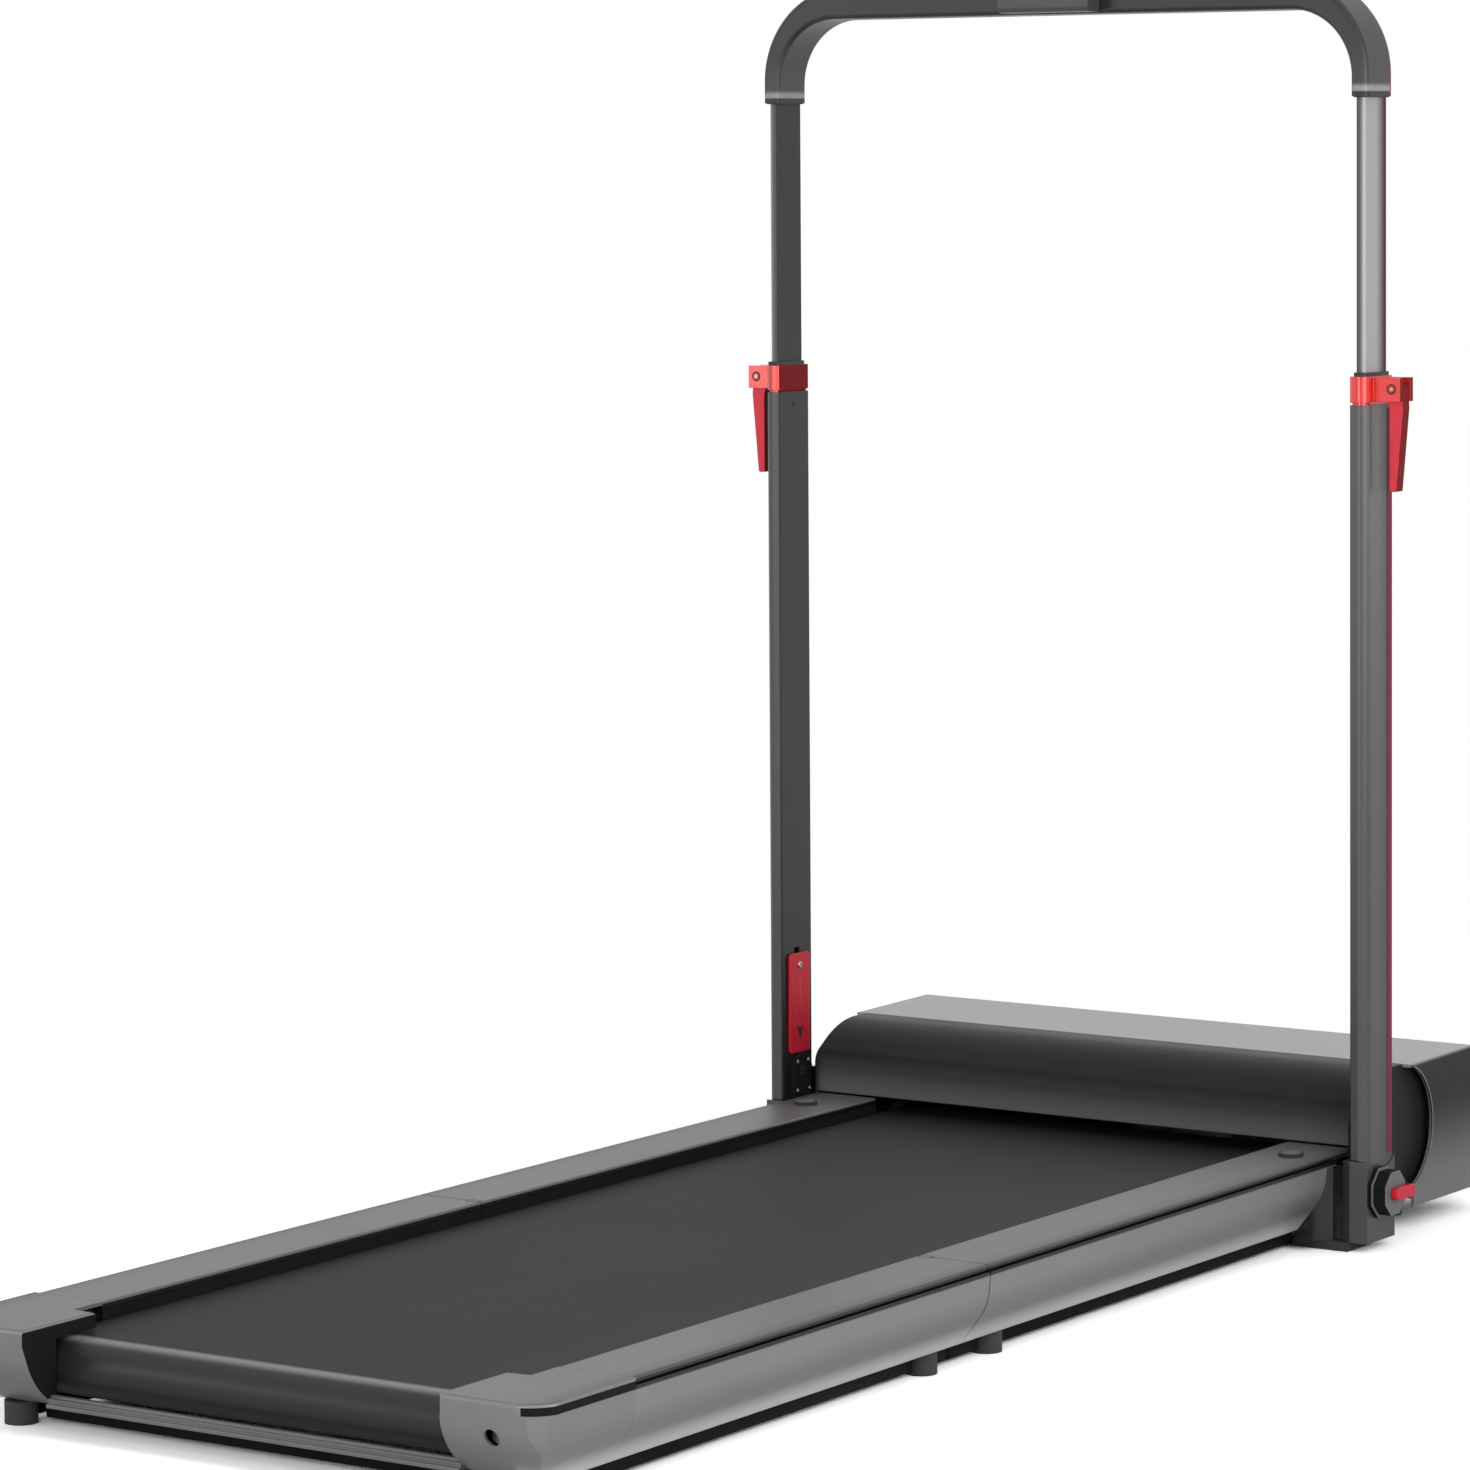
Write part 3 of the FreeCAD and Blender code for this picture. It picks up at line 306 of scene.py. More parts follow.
@dataclass(frozen=True)
class Finish(ABC):
    """A procedural finish.

    The colour is what the surface shows in plain light.
    """

    name: str
    colour: str
    roughness: float = 0.5
    metallic: float = 0.0
    layers: tuple[Layer, ...] = ()

    @abstractmethod
    def paint(self, p: Paint) -> None:
        """Fill the material's tree."""

    def by_place(self, p: Paint, colour: Sock, grain: Sock) -> Sock:
        """Lay over the colour what changes by place on the part.

        Args:
            p: the material's tree.
            colour: the colour so far.
            grain: the finish's fine pattern.

        Returns:
            The colour under the finish's layers.
        """
        for layer in self.layers:
            share: Value = layer.share
            for place, band in ((abs(p.x), layer.x), (p.z, layer.z)):
                if band:
                    share = p.band(place, *band) * share
            tone = tint(layer.tone) if isinstance(layer.tone, str) else self.shade(layer.tone)
            colour = p.mixed(share, colour, tone)
        return colour

    def shade(self, factor: float, lift: float = 0.0) -> Colour:
        """A lighter or darker shade of the finish's colour."""
        return scaled(tint(self.colour), factor, lift)

    @property
    def material(self) -> bpy.types.Material:
        """The finish's material, made once."""
        found = bpy.data.materials.get(self.name)
        if found is None:
            p = Paint(self.name)
            self.paint(p)
            found = p.material
            found.diffuse_color = tint(self.colour)
        return found


@dataclass(frozen=True)
class SprayedMetal(Finish):
    """Satin metallic coat: fine flake, faint clouds, long rub marks."""

    flake: float = 0.5
    cloud: float = 0.35
    rub: float = 0.25
    along: Point = (9.0, 0.4, 9.0)
    bite: float = 0.00003

    def paint(self, p: Paint) -> None:
        """Fill the material's tree."""
        grain = p.noise(1900, 1)
        clouds = p.noise(6, 3)
        marks = p.band(p.noise(34, 5, self.along), 0.63, 0.78)
        dark, light = self.shade(0.80), self.shade(1.22)
        tone = 0.5 + (grain - 0.5) * (1.6 * self.flake) + (clouds - 0.5) * (1.4 * self.cloud)
        colour = p.mixed(marks * self.rub, p.mixed(tone, dark, light), light)
        p.close(Base_Color=self.by_place(p, colour, grain), Metallic=self.metallic,
                Roughness=self.roughness + (clouds - 0.5) * 0.10 + marks * 0.08,
                Normal=p.relief(grain, self.bite, 0.35))


@dataclass(frozen=True)
class FacedCoat(SprayedMetal):
    """A coat in three tones by face: painted shade on the inner faces and painted light on the
    outer ones.
    """

    # inner is painted shade and outer painted light; top is painted light over the rise band, and
    # far is painted shade towards the rear
    inner: str = "3a3a3a"
    outer: str = "666666"
    faces: Flat = (0.3, 0.31)
    rise: Flat = (0.0, 1.0)
    lift: float = 0.0
    top: str = "757576"
    fleck: float = 0.35
    spread: float = 0.0030
    inner_spread: float = 0.0016
    inner_share: float = 0.92
    fade: Flat = (0.486, 0.516)
    far: str = "404040"
    beyond: Flat = (0.0005, 0.0015)

    def by_place(self, p: Paint, colour: Sock, grain: Sock) -> Sock:
        """Painted shade on the inner faces, painted light on the outer faces, and black past the
        outer one as painted shadow.
        """
        low, high = self.faces
        out = abs(p.x)
        outside = tint(self.outer)
        fleck = p.mixed(grain, outside, scaled(outside, 1.7))
        shown = p.mixed(self.fleck, outside, fleck)
        # painted light towards the top, then painted shade towards the rear
        shown = p.over(shown, p.band(p.z, *self.rise) * self.lift, self.top)
        shown = p.over(shown, p.band(p.y, *self.fade), self.far)
        # painted light on the outer faces
        colour = p.mixed(p.band(out, high - self.spread, high), colour, shown)
        # painted shade on the inner faces
        inside = p.band(out, low + self.inner_spread, low) * self.inner_share
        colour = p.over(colour, inside, self.inner)
        # black past the outer face: painted shadow in the gap beside it
        return p.over(colour, p.band(out, *(high + b for b in self.beyond)), "0a0a0a")


@dataclass(frozen=True)
class MouldedPlastic(Finish):
    """Moulded plastic with a spark-eroded grain and faint handling marks."""

    grain: float = 1500.0
    depth: float = 0.00004
    haze: float = 0.3
    gloss: float = 0.5

    def paint(self, p: Paint) -> None:
        """Fill the material's tree."""
        pits = p.cells(self.grain)
        clouds = p.noise(9, 3)
        wipes = p.band(p.noise(22, 4, (1.0, 5.0, 5.0)), 0.60, 0.80)
        dark, pale = self.shade(0.82), self.shade(1.25, 0.012)
        tone = 0.45 + (clouds - 0.5) * 0.9 + (pits - 0.4) * 0.35
        colour = p.mixed(wipes * self.haze, p.mixed(tone, dark, pale), pale)
        p.close(Base_Color=self.by_place(p, colour, pits), Metallic=self.metallic,
                Roughness=self.roughness + (clouds - 0.5) * 0.14 + wipes * 0.07,
                Specular_IOR_Level=self.gloss, Normal=p.relief(pits, self.depth, 0.5))


@dataclass(frozen=True)
class HoodPlastic(MouldedPlastic):
    """The hood's plastic: pale on top, with painted shade on its ends that grows darker towards
    their top.
    """

    end: str = "111111"
    reach: Flat = (0.2925, 0.2967)
    rise: Flat = (0.03, 0.115)

    def by_place(self, p: Paint, colour: Sock, grain: Sock) -> Sock:
        """Painted shade on the ends."""
        share = p.band(abs(p.x), *self.reach) * (0.4 + p.band(p.z, *self.rise) * 0.54)
        return p.over(colour, share, self.end)


@dataclass(frozen=True)
class GripPlastic(MouldedPlastic):
    """The bends' soft plastic, with a red line round the outer rear edge."""

    line: str = "6a1c34"
    centre: Flat = (0.229, 1.034)
    skin: Flat = (0.0830, 0.0842)
    rear: Flat = (0.5098, 0.5110)

    def by_place(self, p: Paint, colour: Sock, grain: Sock) -> Sock:
        """The red line over the layers."""
        colour = super().by_place(p, colour, grain)
        out = (abs(p.x) - self.centre[0]).highest(0.0)
        rise = (p.z - self.centre[1]).highest(0.0)
        away = (out * out + rise * rise).root()
        return p.over(colour, p.band(away, *self.skin) * p.band(p.y, *self.rear), self.line)


@dataclass(frozen=True)
class WovenBelt(Finish):
    """Running belt: fine diamond weave, pale specks, a worn track, and a painted highlight over the
    tail roller.
    """

    pitch: float = 0.0024
    track: Flat = (0.20, 0.10)
    # Y of the painted highlight over the tail roller, its reach from there and its rise in Z
    crest: float = -0.669
    crest_reach: Flat = (0.009, 0.001)
    crest_rise: Flat = (0.055, 0.065)
    wrap: Flat = (-0.661, -0.671)

    def paint(self, p: Paint) -> None:
        """Fill the material's tree."""
        turn = 2 * math.pi / self.pitch
        along = p.y + p.z
        weave = ((p.x + along) * turn).sine() * ((p.x - along) * turn).sine()
        height = weave * 0.5 + 0.5
        specks = p.band(p.noise(900, 1), 0.60, 0.72)
        clouds = p.noise(5, 4)
        worn = p.band(abs(p.x), *self.track) * p.noise(14, 3, (1, 0.3, 1))
        tone = height * 0.55 + specks * 0.35 + (clouds - 0.5) * 0.5 + worn * 0.12
        # painted highlight where the belt rolls over the tail roller
        bend = p.band(abs(p.y - self.crest), *self.crest_reach) * p.band(p.z, *self.crest_rise)
        colour = p.over(p.mixed(tone, self.shade(0.62), self.shade(1.5)),
                        bend * (0.30 + height * 0.55), "a2a2a2")
        p.close(Base_Color=colour, Metallic=self.metallic,
                Roughness=self.roughness - height * 0.06 + worn * 0.05,
                Specular_IOR_Level=0.22, Coat_Weight=p.band(p.y, *self.wrap) * 0.36,
                Coat_Roughness=0.34, Normal=p.relief(height + specks * 0.4, 0.00012, 0.55))


@dataclass(frozen=True)
class SoftRubber(Finish):
    """Matt rubber with dust in its pores."""

    dust: float = 0.3

    def paint(self, p: Paint) -> None:
        """Fill the material's tree."""
        pores = p.cells(900)
        dusty = p.band(p.noise(45, 4), 0.48, 0.75)
        grey = self.shade(1.6, 0.02)
        colour = p.mixed(dusty * self.dust, p.mixed(pores, tint(self.colour), grey), grey)
        p.close(Base_Color=colour, Metallic=self.metallic,
                Roughness=self.roughness + dusty * 0.1, Normal=p.relief(pores, 0.00006, 0.5))


@dataclass(frozen=True)
class Brushed(Finish):
    """Metal with fine lines along one axis: anodised, drawn or turned."""

    lines: Point = (1.0, 1.0, 0.02)
    scale: float = 1400.0
    contrast: float = 0.5
    bite: float = 0.00002
    coat: float = 0.0
    gloss: float = 0.5

    def paint(self, p: Paint) -> None:
        """Fill the material's tree."""
        hair = p.noise(self.scale, 2, self.lines)
        clouds = p.noise(11, 2)
        nicks = p.band(p.cells(55), 0.07, 0.02)
        dark, light = self.shade(0.72), self.shade(1.28, 0.005)
        tone = 0.5 + (hair - 0.5) * (2 * self.contrast) + (clouds - 0.5) * 0.5
        p.close(Base_Color=p.mixed(nicks * 0.25, p.mixed(tone, dark, light), light),
                Metallic=self.metallic,
                Roughness=self.roughness + (hair - 0.5) * 0.2 + (clouds - 0.5) * 0.1,
                Coat_Weight=self.coat, Coat_Roughness=0.16, Specular_IOR_Level=self.gloss,
                Normal=p.relief(hair, self.bite, 0.4))


@dataclass(frozen=True)
class PlyBoard(Finish):
    """Waxed deck board: plies across the thickness and long grain."""

    ply: float = 0.0016

    def paint(self, p: Paint) -> None:
        """Fill the material's tree."""
        grain = p.noise(60, 5, (3.0, 0.25, 1.0))
        plies = (p.z * (2 * math.pi / self.ply)).sine() * 0.5 + 0.5
        colour = p.mixed(grain * 0.7 + plies * 0.3, self.shade(0.5), tint(self.colour))
        p.close(Base_Color=colour, Metallic=self.metallic,
                Roughness=self.roughness + (grain - 0.5) * 0.2,
                Normal=p.relief(grain, 0.0001, 0.4))


@dataclass(frozen=True)
class PrintedBoard(Finish):
    """Coated circuit board with tracks and solder spots."""

    track: float = 0.0032

    def paint(self, p: Paint) -> None:
        """Fill the material's tree."""
        turn = 2 * math.pi / self.track
        lanes = p.band((p.x * turn + p.noise(30, 1) * 6).sine(), 0.55, 0.75)
        spots = p.band(p.cells(190), 0.24, 0.18)
        colour = p.mixed(lanes * 0.7, tint(self.colour), self.shade(1.9))
        p.close(Base_Color=p.over(colour, spots, "b8b4a8"), Metallic=spots * 0.8,
                Roughness=self.roughness - spots * 0.15,
                Normal=p.relief(lanes + spots, 0.0001, 0.5))


class Finishes:
    """The finishes of the walking pad, by what they cover."""

    # Z band of painted shade on the sides of the rails and caps, darker from 0.064 m downwards
    WAIST: Flat = (0.064, 0.043)
    # painted light from the bright floor: paler along the foot of the rails and caps
    RUBBED_FOOT = Layer("cacacb", x=(0.246, 0.250), z=(0.040, 0.020))
    # Rails: painted shade on the waist, painted floor light on the foot, and near-black at the top
    # as painted shade in the groove under the cover
    RAIL = SprayedMetal("rail_satin_grey", "848485", 0.40, 0.35, layers=(
        Layer(0.5, 0.5, z=WAIST), RUBBED_FOOT, Layer("0e0e0e", z=(0.0755, 0.0770))))
    # Covers: painted shade towards the outer edge, and near-black on the lower side as painted
    # shade in the groove
    COVER = SprayedMetal("cover_satin_grey", "626263", 0.42, 0.25, layers=(
        Layer(0.4, 0.8, x=(0.262, 0.284)), Layer("0b0b0b", z=(0.0834, 0.0824))))
    # Caps: fainter painted shade on the waist, and painted floor light on the foot
    CAP = SprayedMetal("tail_cap_grey", "7e7e7f", 0.38, 0.3, along=(2.0, 2.0, 2.0), layers=(
        Layer(0.5, 0.35, z=WAIST), RUBBED_FOOT))
    # Hood: painted shade on its ends; the end faces take a duller copy with the same painted shade
    HOOD = HoodPlastic("hood_grey_satin", "9c9c9e", 0.36, 0.25, grain=1900, depth=0.00002)
    HOOD_END = HoodPlastic("hood_end_satin", "9c9c9e", 0.46, 0.1, grain=1900, depth=0.00002,
                           gloss=0.12)
    # Nose: painted light on its lower front
    NOSE = MouldedPlastic("nose_black_satin", "242424", 0.36, grain=1700, depth=0.00003, gloss=0.05,
                          layers=(Layer("6e6e6e", 0.8, x=(0.285, 0.278), z=(0.125, 0.085)),))
    BLACK = MouldedPlastic("black_moulding", "141414", 0.45)
    # near-black, also on pieces that stand for shade: the sheets under the deck, the strips round
    # the caps and the knob's sides
    INNER = MouldedPlastic("inner_wall_black", "080808", 0.7, haze=0.1, gloss=0.1)
    BRACKET = MouldedPlastic("bracket_dark_grey", "3b3d3d", 0.42, 0.1)
    GUSSET = MouldedPlastic("gusset_dark_grey", "2c2d2d", 0.28, 0.4)
    HANDLE = MouldedPlastic("handle_soft_grip", "191919", 0.38, grain=1100, depth=0.00006)
    # Bends: paler grey fading up from the foot and a pale line above it as painted highlight, over
    # the dark ring at the foot
    BEND = GripPlastic("bend_soft_grip", "232323", 0.38, grain=1100, depth=0.00006, layers=(
        Layer("4a4a4a", 0.55, z=(1.064, 1.022)), Layer("a0a0a0", z=(1.0264, 1.0214)),
        Layer("0d0d0d", z=(1.0194, 1.0178))))
    CONSOLE = MouldedPlastic("console_grey", "434645", 0.38)
    GUARD = MouldedPlastic("guard_dark_grey", "6a6a6a", 0.33, 0.25)
    KNOB = MouldedPlastic("knob_face_grey", "666a68", 0.5)
    BELT = WovenBelt("belt_weave", "1c1c1c", 0.66)
    RUBBER = SoftRubber("black_soft_rubber", "191919", 0.85)
    FOOT = SoftRubber("foot_rubber", "2a2a2a", 0.8)
    DRIVE = SoftRubber("drive_belt_rubber", "171717", 0.75)
    # Columns, tubes and sockets: painted shade on the inner faces and towards the rear, painted
    # light on the outer faces; the columns also paler upwards as painted light
    COLUMN = FacedCoat("column_grey_coat", "505051", 0.34, 0.4, along=(9.0, 9.0, 0.4),
                       inner="262626", outer="4e4e4f", faces=(0.2986, 0.3147),
                       rise=(0.30, 0.85), lift=1.0)
    TUBE = FacedCoat("upper_tube_satin", "545455", 0.46, 0.30, flake=0.25, along=(9.0, 9.0, 0.3),
                     inner="232323", outer="a9a9aa", faces=(0.3026, 0.3108), far="4a4244",
                     spread=0.0055, fade=(0.4910, 0.5080))
    SOCKET = FacedCoat("bracket_socket_grey", "505252", 0.42, 0.1, flake=0.3, inner="0c0c0c",
                       outer="434545", faces=(0.2978, 0.3166), fade=(0.495, 0.530), far="363838")
    RED = Brushed("red_anodised_satin", "d43644", 0.38, 0.3, lines=(1.0, 1.0, 0.05), gloss=0.25)
    LATCH = Brushed("latch_red_gloss", "d3263a", 0.36, 0.2, lines=(1.0, 1.0, 0.05), gloss=0.25)
    COLLAR = Brushed("collar_red_anodised", "d4261f", 0.30, 0.5, lines=(1.0, 1.0, 0.05), coat=0.8)
    # a shaded copy of the red: painted shade on the flanks of the levers and collars and on the
    # collars' inner faces
    FLANK = Brushed("flank_red_anodised", "7c0a12", 0.50, 0.2, lines=(1.0, 1.0, 0.05), gloss=0.12)
    TUBE_TRIM = Brushed("tube_red_line", "561828", 0.45, 0.1, gloss=0.2)
    TRIM = Brushed("trim_red_line", "76203c", 0.45, 0.1, gloss=0.2)
    PALE = MouldedPlastic("pale_moulding", "b9b9b9", 0.4)
    GLASS = MouldedPlastic("display_smoked", "0b0c0d", 0.12, grain=300, depth=0.00001, haze=0.1)
    STEEL = Brushed("turned_steel", "a8a8aa", 0.30, 1.0, lines=(0.02, 1.0, 1.0))
    BLACK_STEEL = SprayedMetal("black_frame_paint", "1d1d1e", 0.5, 0.1)
    WOOD = PlyBoard("deck_board_dark", "2c2622", 0.55)
    BOARD = PrintedBoard("control_board_green", "10301e", 0.4)


# ------------------------------------------------------------------ mesh work
def middle(node: str) -> tuple[Vector, Vector, Vector]:
    """A CAD node's low corner, high corner and middle."""
    low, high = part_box(node)
    return low, high, Vector((low.x + high.x, low.y + high.y, low.z + high.z)) / 2


def ring(rect: tuple[float, float, float, float], radius: float, steps: int = 6) -> list[Flat]:
    """A rectangle with rounded corners.

    Args:
        rect: low and high u, low and high v.
        radius: the corners' radius.
        steps: points on each corner.

    Returns:
        The outline, anticlockwise.
    """
    u0, u1, v0, v1 = (rect[0] + radius, rect[1] - radius, rect[2] + radius, rect[3] - radius)
    points = []
    for u, v, start in ((u0, v0, 180), (u1, v0, 270), (u1, v1, 0), (u0, v1, 90)):
        for i in range(steps + 1):
            du, dv = polar(radius, math.radians(start + 90 * i / steps))
            points.append((u + du, v + dv))
    return points


def new_object(name: str, bm: bmesh.types.BMesh, smooth: float = 32.0) -> bpy.types.Object:
    """Make an object of a bmesh, with outward faces and sharp edges kept.

    Args:
        name: the piece's name.
        bm: the mesh, which is freed.
        smooth: edges sharper than this many degrees stay hard.

    Returns:
        The linked object.
    """
    bmesh.ops.recalc_face_normals(bm, faces=bm.faces)
    mesh = bpy.data.meshes.new(name)
    bm.to_mesh(mesh)
    bm.free()
    mesh.shade_smooth()
    mesh.set_sharp_from_angle(angle=math.radians(smooth))
    made = bpy.data.objects.new(name, mesh)
    bpy.context.scene.collection.objects.link(made)
    return made


def discard(made: bpy.types.Object) -> None:
    """Remove an object and its mesh."""
    mesh = made.data
    bpy.data.objects.remove(made)
    bpy.data.meshes.remove(mesh)


def plain(made: bpy.types.Object) -> bpy.types.Object:
    """Turn an object's modifiers into its plain mesh and drop them.

    Args:
        made: the object.

    Returns:
        The same object.
    """
    seen = bpy.context.evaluated_depsgraph_get()
    seen.update()
    old = made.data
    mesh = bpy.data.meshes.new_from_object(made.evaluated_get(seen))
    made.modifiers.clear()
    made.data = mesh
    bpy.data.meshes.remove(old)
    return made


def bevelled(made: bpy.types.Object, width: float, segments: int = 2,
             angle: float = 34.0) -> bpy.types.Object:
    """Round an object's edges so that they catch the light.

    Args:
        made: the object.
        width: the bevel's width.
        segments: faces across it.
        angle: the least angle in degrees of an edge that is rounded.

    Returns:
        The object, with a plain mesh.
    """
    edge = made.modifiers.new("edge", "BEVEL")
    edge.width, edge.segments = width, segments
    edge.limit_method, edge.angle_limit = "ANGLE", math.radians(angle)
    edge.use_clamp_overlap = True
    weigh = made.modifiers.new("weigh", "WEIGHTED_NORMAL")
    weigh.keep_sharp = True
    return plain(made)


def copied(node: str, flatten: bool = True) -> bmesh.types.BMesh:
    """A copy of a CAD node's mesh with its doubles merged.

    Args:
        node: the node's name.
        flatten: whether faces in one plane become one.

    Returns:
        The copy.
    """
    bm = bmesh.new()
    bm.from_mesh(frame["nodes"][node].data)
    bmesh.ops.remove_doubles(bm, verts=bm.verts, dist=WELD)
    if flatten:
        bmesh.ops.dissolve_limit(bm, angle_limit=math.radians(PLANE_ANGLE), verts=bm.verts,
                                 edges=bm.edges)
    return bm


def skin(bm: bmesh.types.BMesh, rows: Sequence[Sequence[bmesh.types.BMVert]]) -> None:
    """Join closed rows of points by faces; a row of one point is a pole.

    Args:
        bm: the mesh.
        rows: the rows, in order.
    """
    for low, high in zip(rows, rows[1:]):
        count = max(len(low), len(high))
        for i in range(count):
            j = (i + 1) % count
            face = [low[i % len(low)], low[j % len(low)], high[j % len(high)], high[i % len(high)]]
            bm.faces.new(list(dict.fromkeys(face)))


def slab(name: str, outline: Sequence[Flat], axis: Axis, low: float, high: float,
         hole: Optional[Sequence[Flat]] = None, edge: float = 0.0) -> bpy.types.Object:
    """A flat piece with a given outline, and an opening of as many points.

    Args:
        name: the piece's name.
        outline: points of its edge.
        axis: the direction it stands along.
        low: its lower face.
        high: its upper face.
        hole: points of an opening, as many as the outline has.
        edge: the width of its rounded edges.

    Returns:
        The piece.
    """
    bm = bmesh.new()
    loops = [[bm.verts.new(axis.place(u, v, w)) for u, v in line]
             for line in ([outline, hole] if hole else [outline]) for w in (low, high)]
    for start in range(0, len(loops), 2):
        skin(bm, loops[start:start + 2])
    for level in (0, 1):
        if hole:
            skin(bm, loops[level::2])
        else:
            bm.faces.new(loops[level])
    made = new_object(name, bm)
    return bevelled(made, edge, 2, 40) if edge else made


def turned(name: str, profile: Sequence[Flat], axis: Axis, centre: Point,
           steps: int = 32) -> bpy.types.Object:
    """A turned piece.

    Args:
        name: the piece's name.
        profile: radius and height of each step, ending on the axis or where it starts.
        axis: the axis it turns about.
        centre: the place of radius 0, height 0.
        steps: sides of the turning.

    Returns:
        The piece.
    """
    bm = bmesh.new()
    rows = [[bm.verts.new(Vector(centre) + axis.place(*polar(r, 2 * math.pi * i / steps), h))
             for i in range(steps if r > 1e-7 else 1)] for r, h in profile]
    skin(bm, rows)
    return new_object(name, bm)


def merged(name: str, pieces: Sequence[bpy.types.Object]) -> bpy.types.Object:
    """Join several pieces of one finish into one.

    Args:
        name: the joined piece's name.
        pieces: the pieces, which are removed.

    Returns:
        The joined piece.
    """
    bm = bmesh.new()
    for piece in pieces:
        bm.from_mesh(piece.data)
        discard(piece)
    return new_object(name, bm)


class Repeats:
    """The Geometry Nodes tree for what repeats."""

    INPUTS = (("Points", "Geometry"), ("Part", "Object"), ("Size", "Float"), ("Finish", "Material"))
    _tree: Optional[bpy.types.NodeTree] = None

    @classmethod
    def on_points(cls) -> bpy.types.NodeTree:
        """The tree that sets one part on every point, aimed by the point's attribute.

        Returns:
            The tree, made once.
        """
        if cls._tree is None:
            group = bpy.data.node_groups.new("part_on_points", "GeometryNodeTree")
            for label, kind in cls.INPUTS:
                group.interface.new_socket(label, in_out="INPUT", socket_type="NodeSocket" + kind)
            group.interface.new_socket("Geometry", in_out="OUTPUT",
                                       socket_type="NodeSocketGeometry")
            tree = Tree(group)
            first = tree.node("NodeGroupInput").socket.node
            given = {s.name: Sock(tree, s) for s in first.outputs if s.name}
            aim = tree.node("GeometryNodeInputNamedAttribute", {"data_type": "FLOAT_VECTOR"},
                            {"Name": "aim"})
            turn = tree.node("FunctionNodeAlignRotationToVector", {"axis": "Z"}, {"Vector": aim})
            part = tree.node("GeometryNodeObjectInfo", None, {"Object": given["Part"]}, "Geometry")
            dots = tree.node("GeometryNodeMeshToPoints", None, {"Mesh": given["Points"]})
            sets = tree.node("GeometryNodeInstanceOnPoints", None, {
                "Points": dots, "Instance": part, "Rotation": turn, "Scale": given["Size"]})
            real = tree.node("GeometryNodeRealizeInstances", None, {"Geometry": sets})
            done = tree.node("GeometryNodeSetMaterial", None,
                             {"Geometry": real, "Material": given["Finish"]})
            tree.node("NodeGroupOutput", None, {"Geometry": done})
            cls._tree = group
        return cls._tree

    @classmethod
    def place(cls, name: str, part: bpy.types.Object, spots: Sequence[Spot], finish: Finish,
              size: float = 1.0) -> bpy.types.Object:
        """Set a part on several spots and keep the result as one plain mesh.

        Args:
            name: the piece's name.
            part: the part, which is removed.
            spots: place and direction of each copy.
            finish: the copies' finish.
            size: the copies' scale.

        Returns:
            The piece.
        """
        mesh = bpy.data.meshes.new(name)
        mesh.from_pydata([s[0] for s in spots], [], [])
        aims = mesh.attributes.new("aim", "FLOAT_VECTOR", "POINT")
        aims.data.foreach_set("vector", [c for s in spots for c in s[1]])
        made = bpy.data.objects.new(name, mesh)
        bpy.context.scene.collection.objects.link(made)
        tree = cls.on_points()
        keys = {s.name: s.identifier for s in tree.interface.items_tree if s.in_out == "INPUT"}
        repeat = made.modifiers.new("repeat", "NODES")
        repeat.node_group = tree
        for label, value in (("Part", part), ("Size", size), ("Finish", finish.material)):
            repeat[keys[label]] = value
        plain(made)
        discard(part)
        return made


def socket_screw(radius: float, height: float, steps: int = 24) -> bpy.types.Object:
    """A button screw with a hexagon socket, standing on its seat along Z.

    Args:
        radius: the head's radius.
        height: the head's height.
        steps: sides of the head.

    Returns:
        The screw, as a part for repeating.
    """
    bm = bmesh.new()
    sixth = math.pi / 6
    rows = []
    for share, rise, hexagon in ((1.0, -0.2, False), (1.0, 0.45, False), (0.86, 0.85, False),
                                 (0.6, 1.0, False), (0.42, 1.0, True), (0.42, 0.35, True)):
        row = []
        for i in range(steps):
            a = 2 * math.pi * i / steps
            stretch = 1 / math.cos((a + sixth) % (2 * sixth) - sixth) if hexagon else 1.0
            row.append(bm.verts.new((*polar(share * radius * stretch, a), rise * height)))
        rows.append(row)
    skin(bm, rows)
    bm.faces.new(rows[0])
    bm.faces.new(rows[-1])
    return new_object("screw_part", bm)


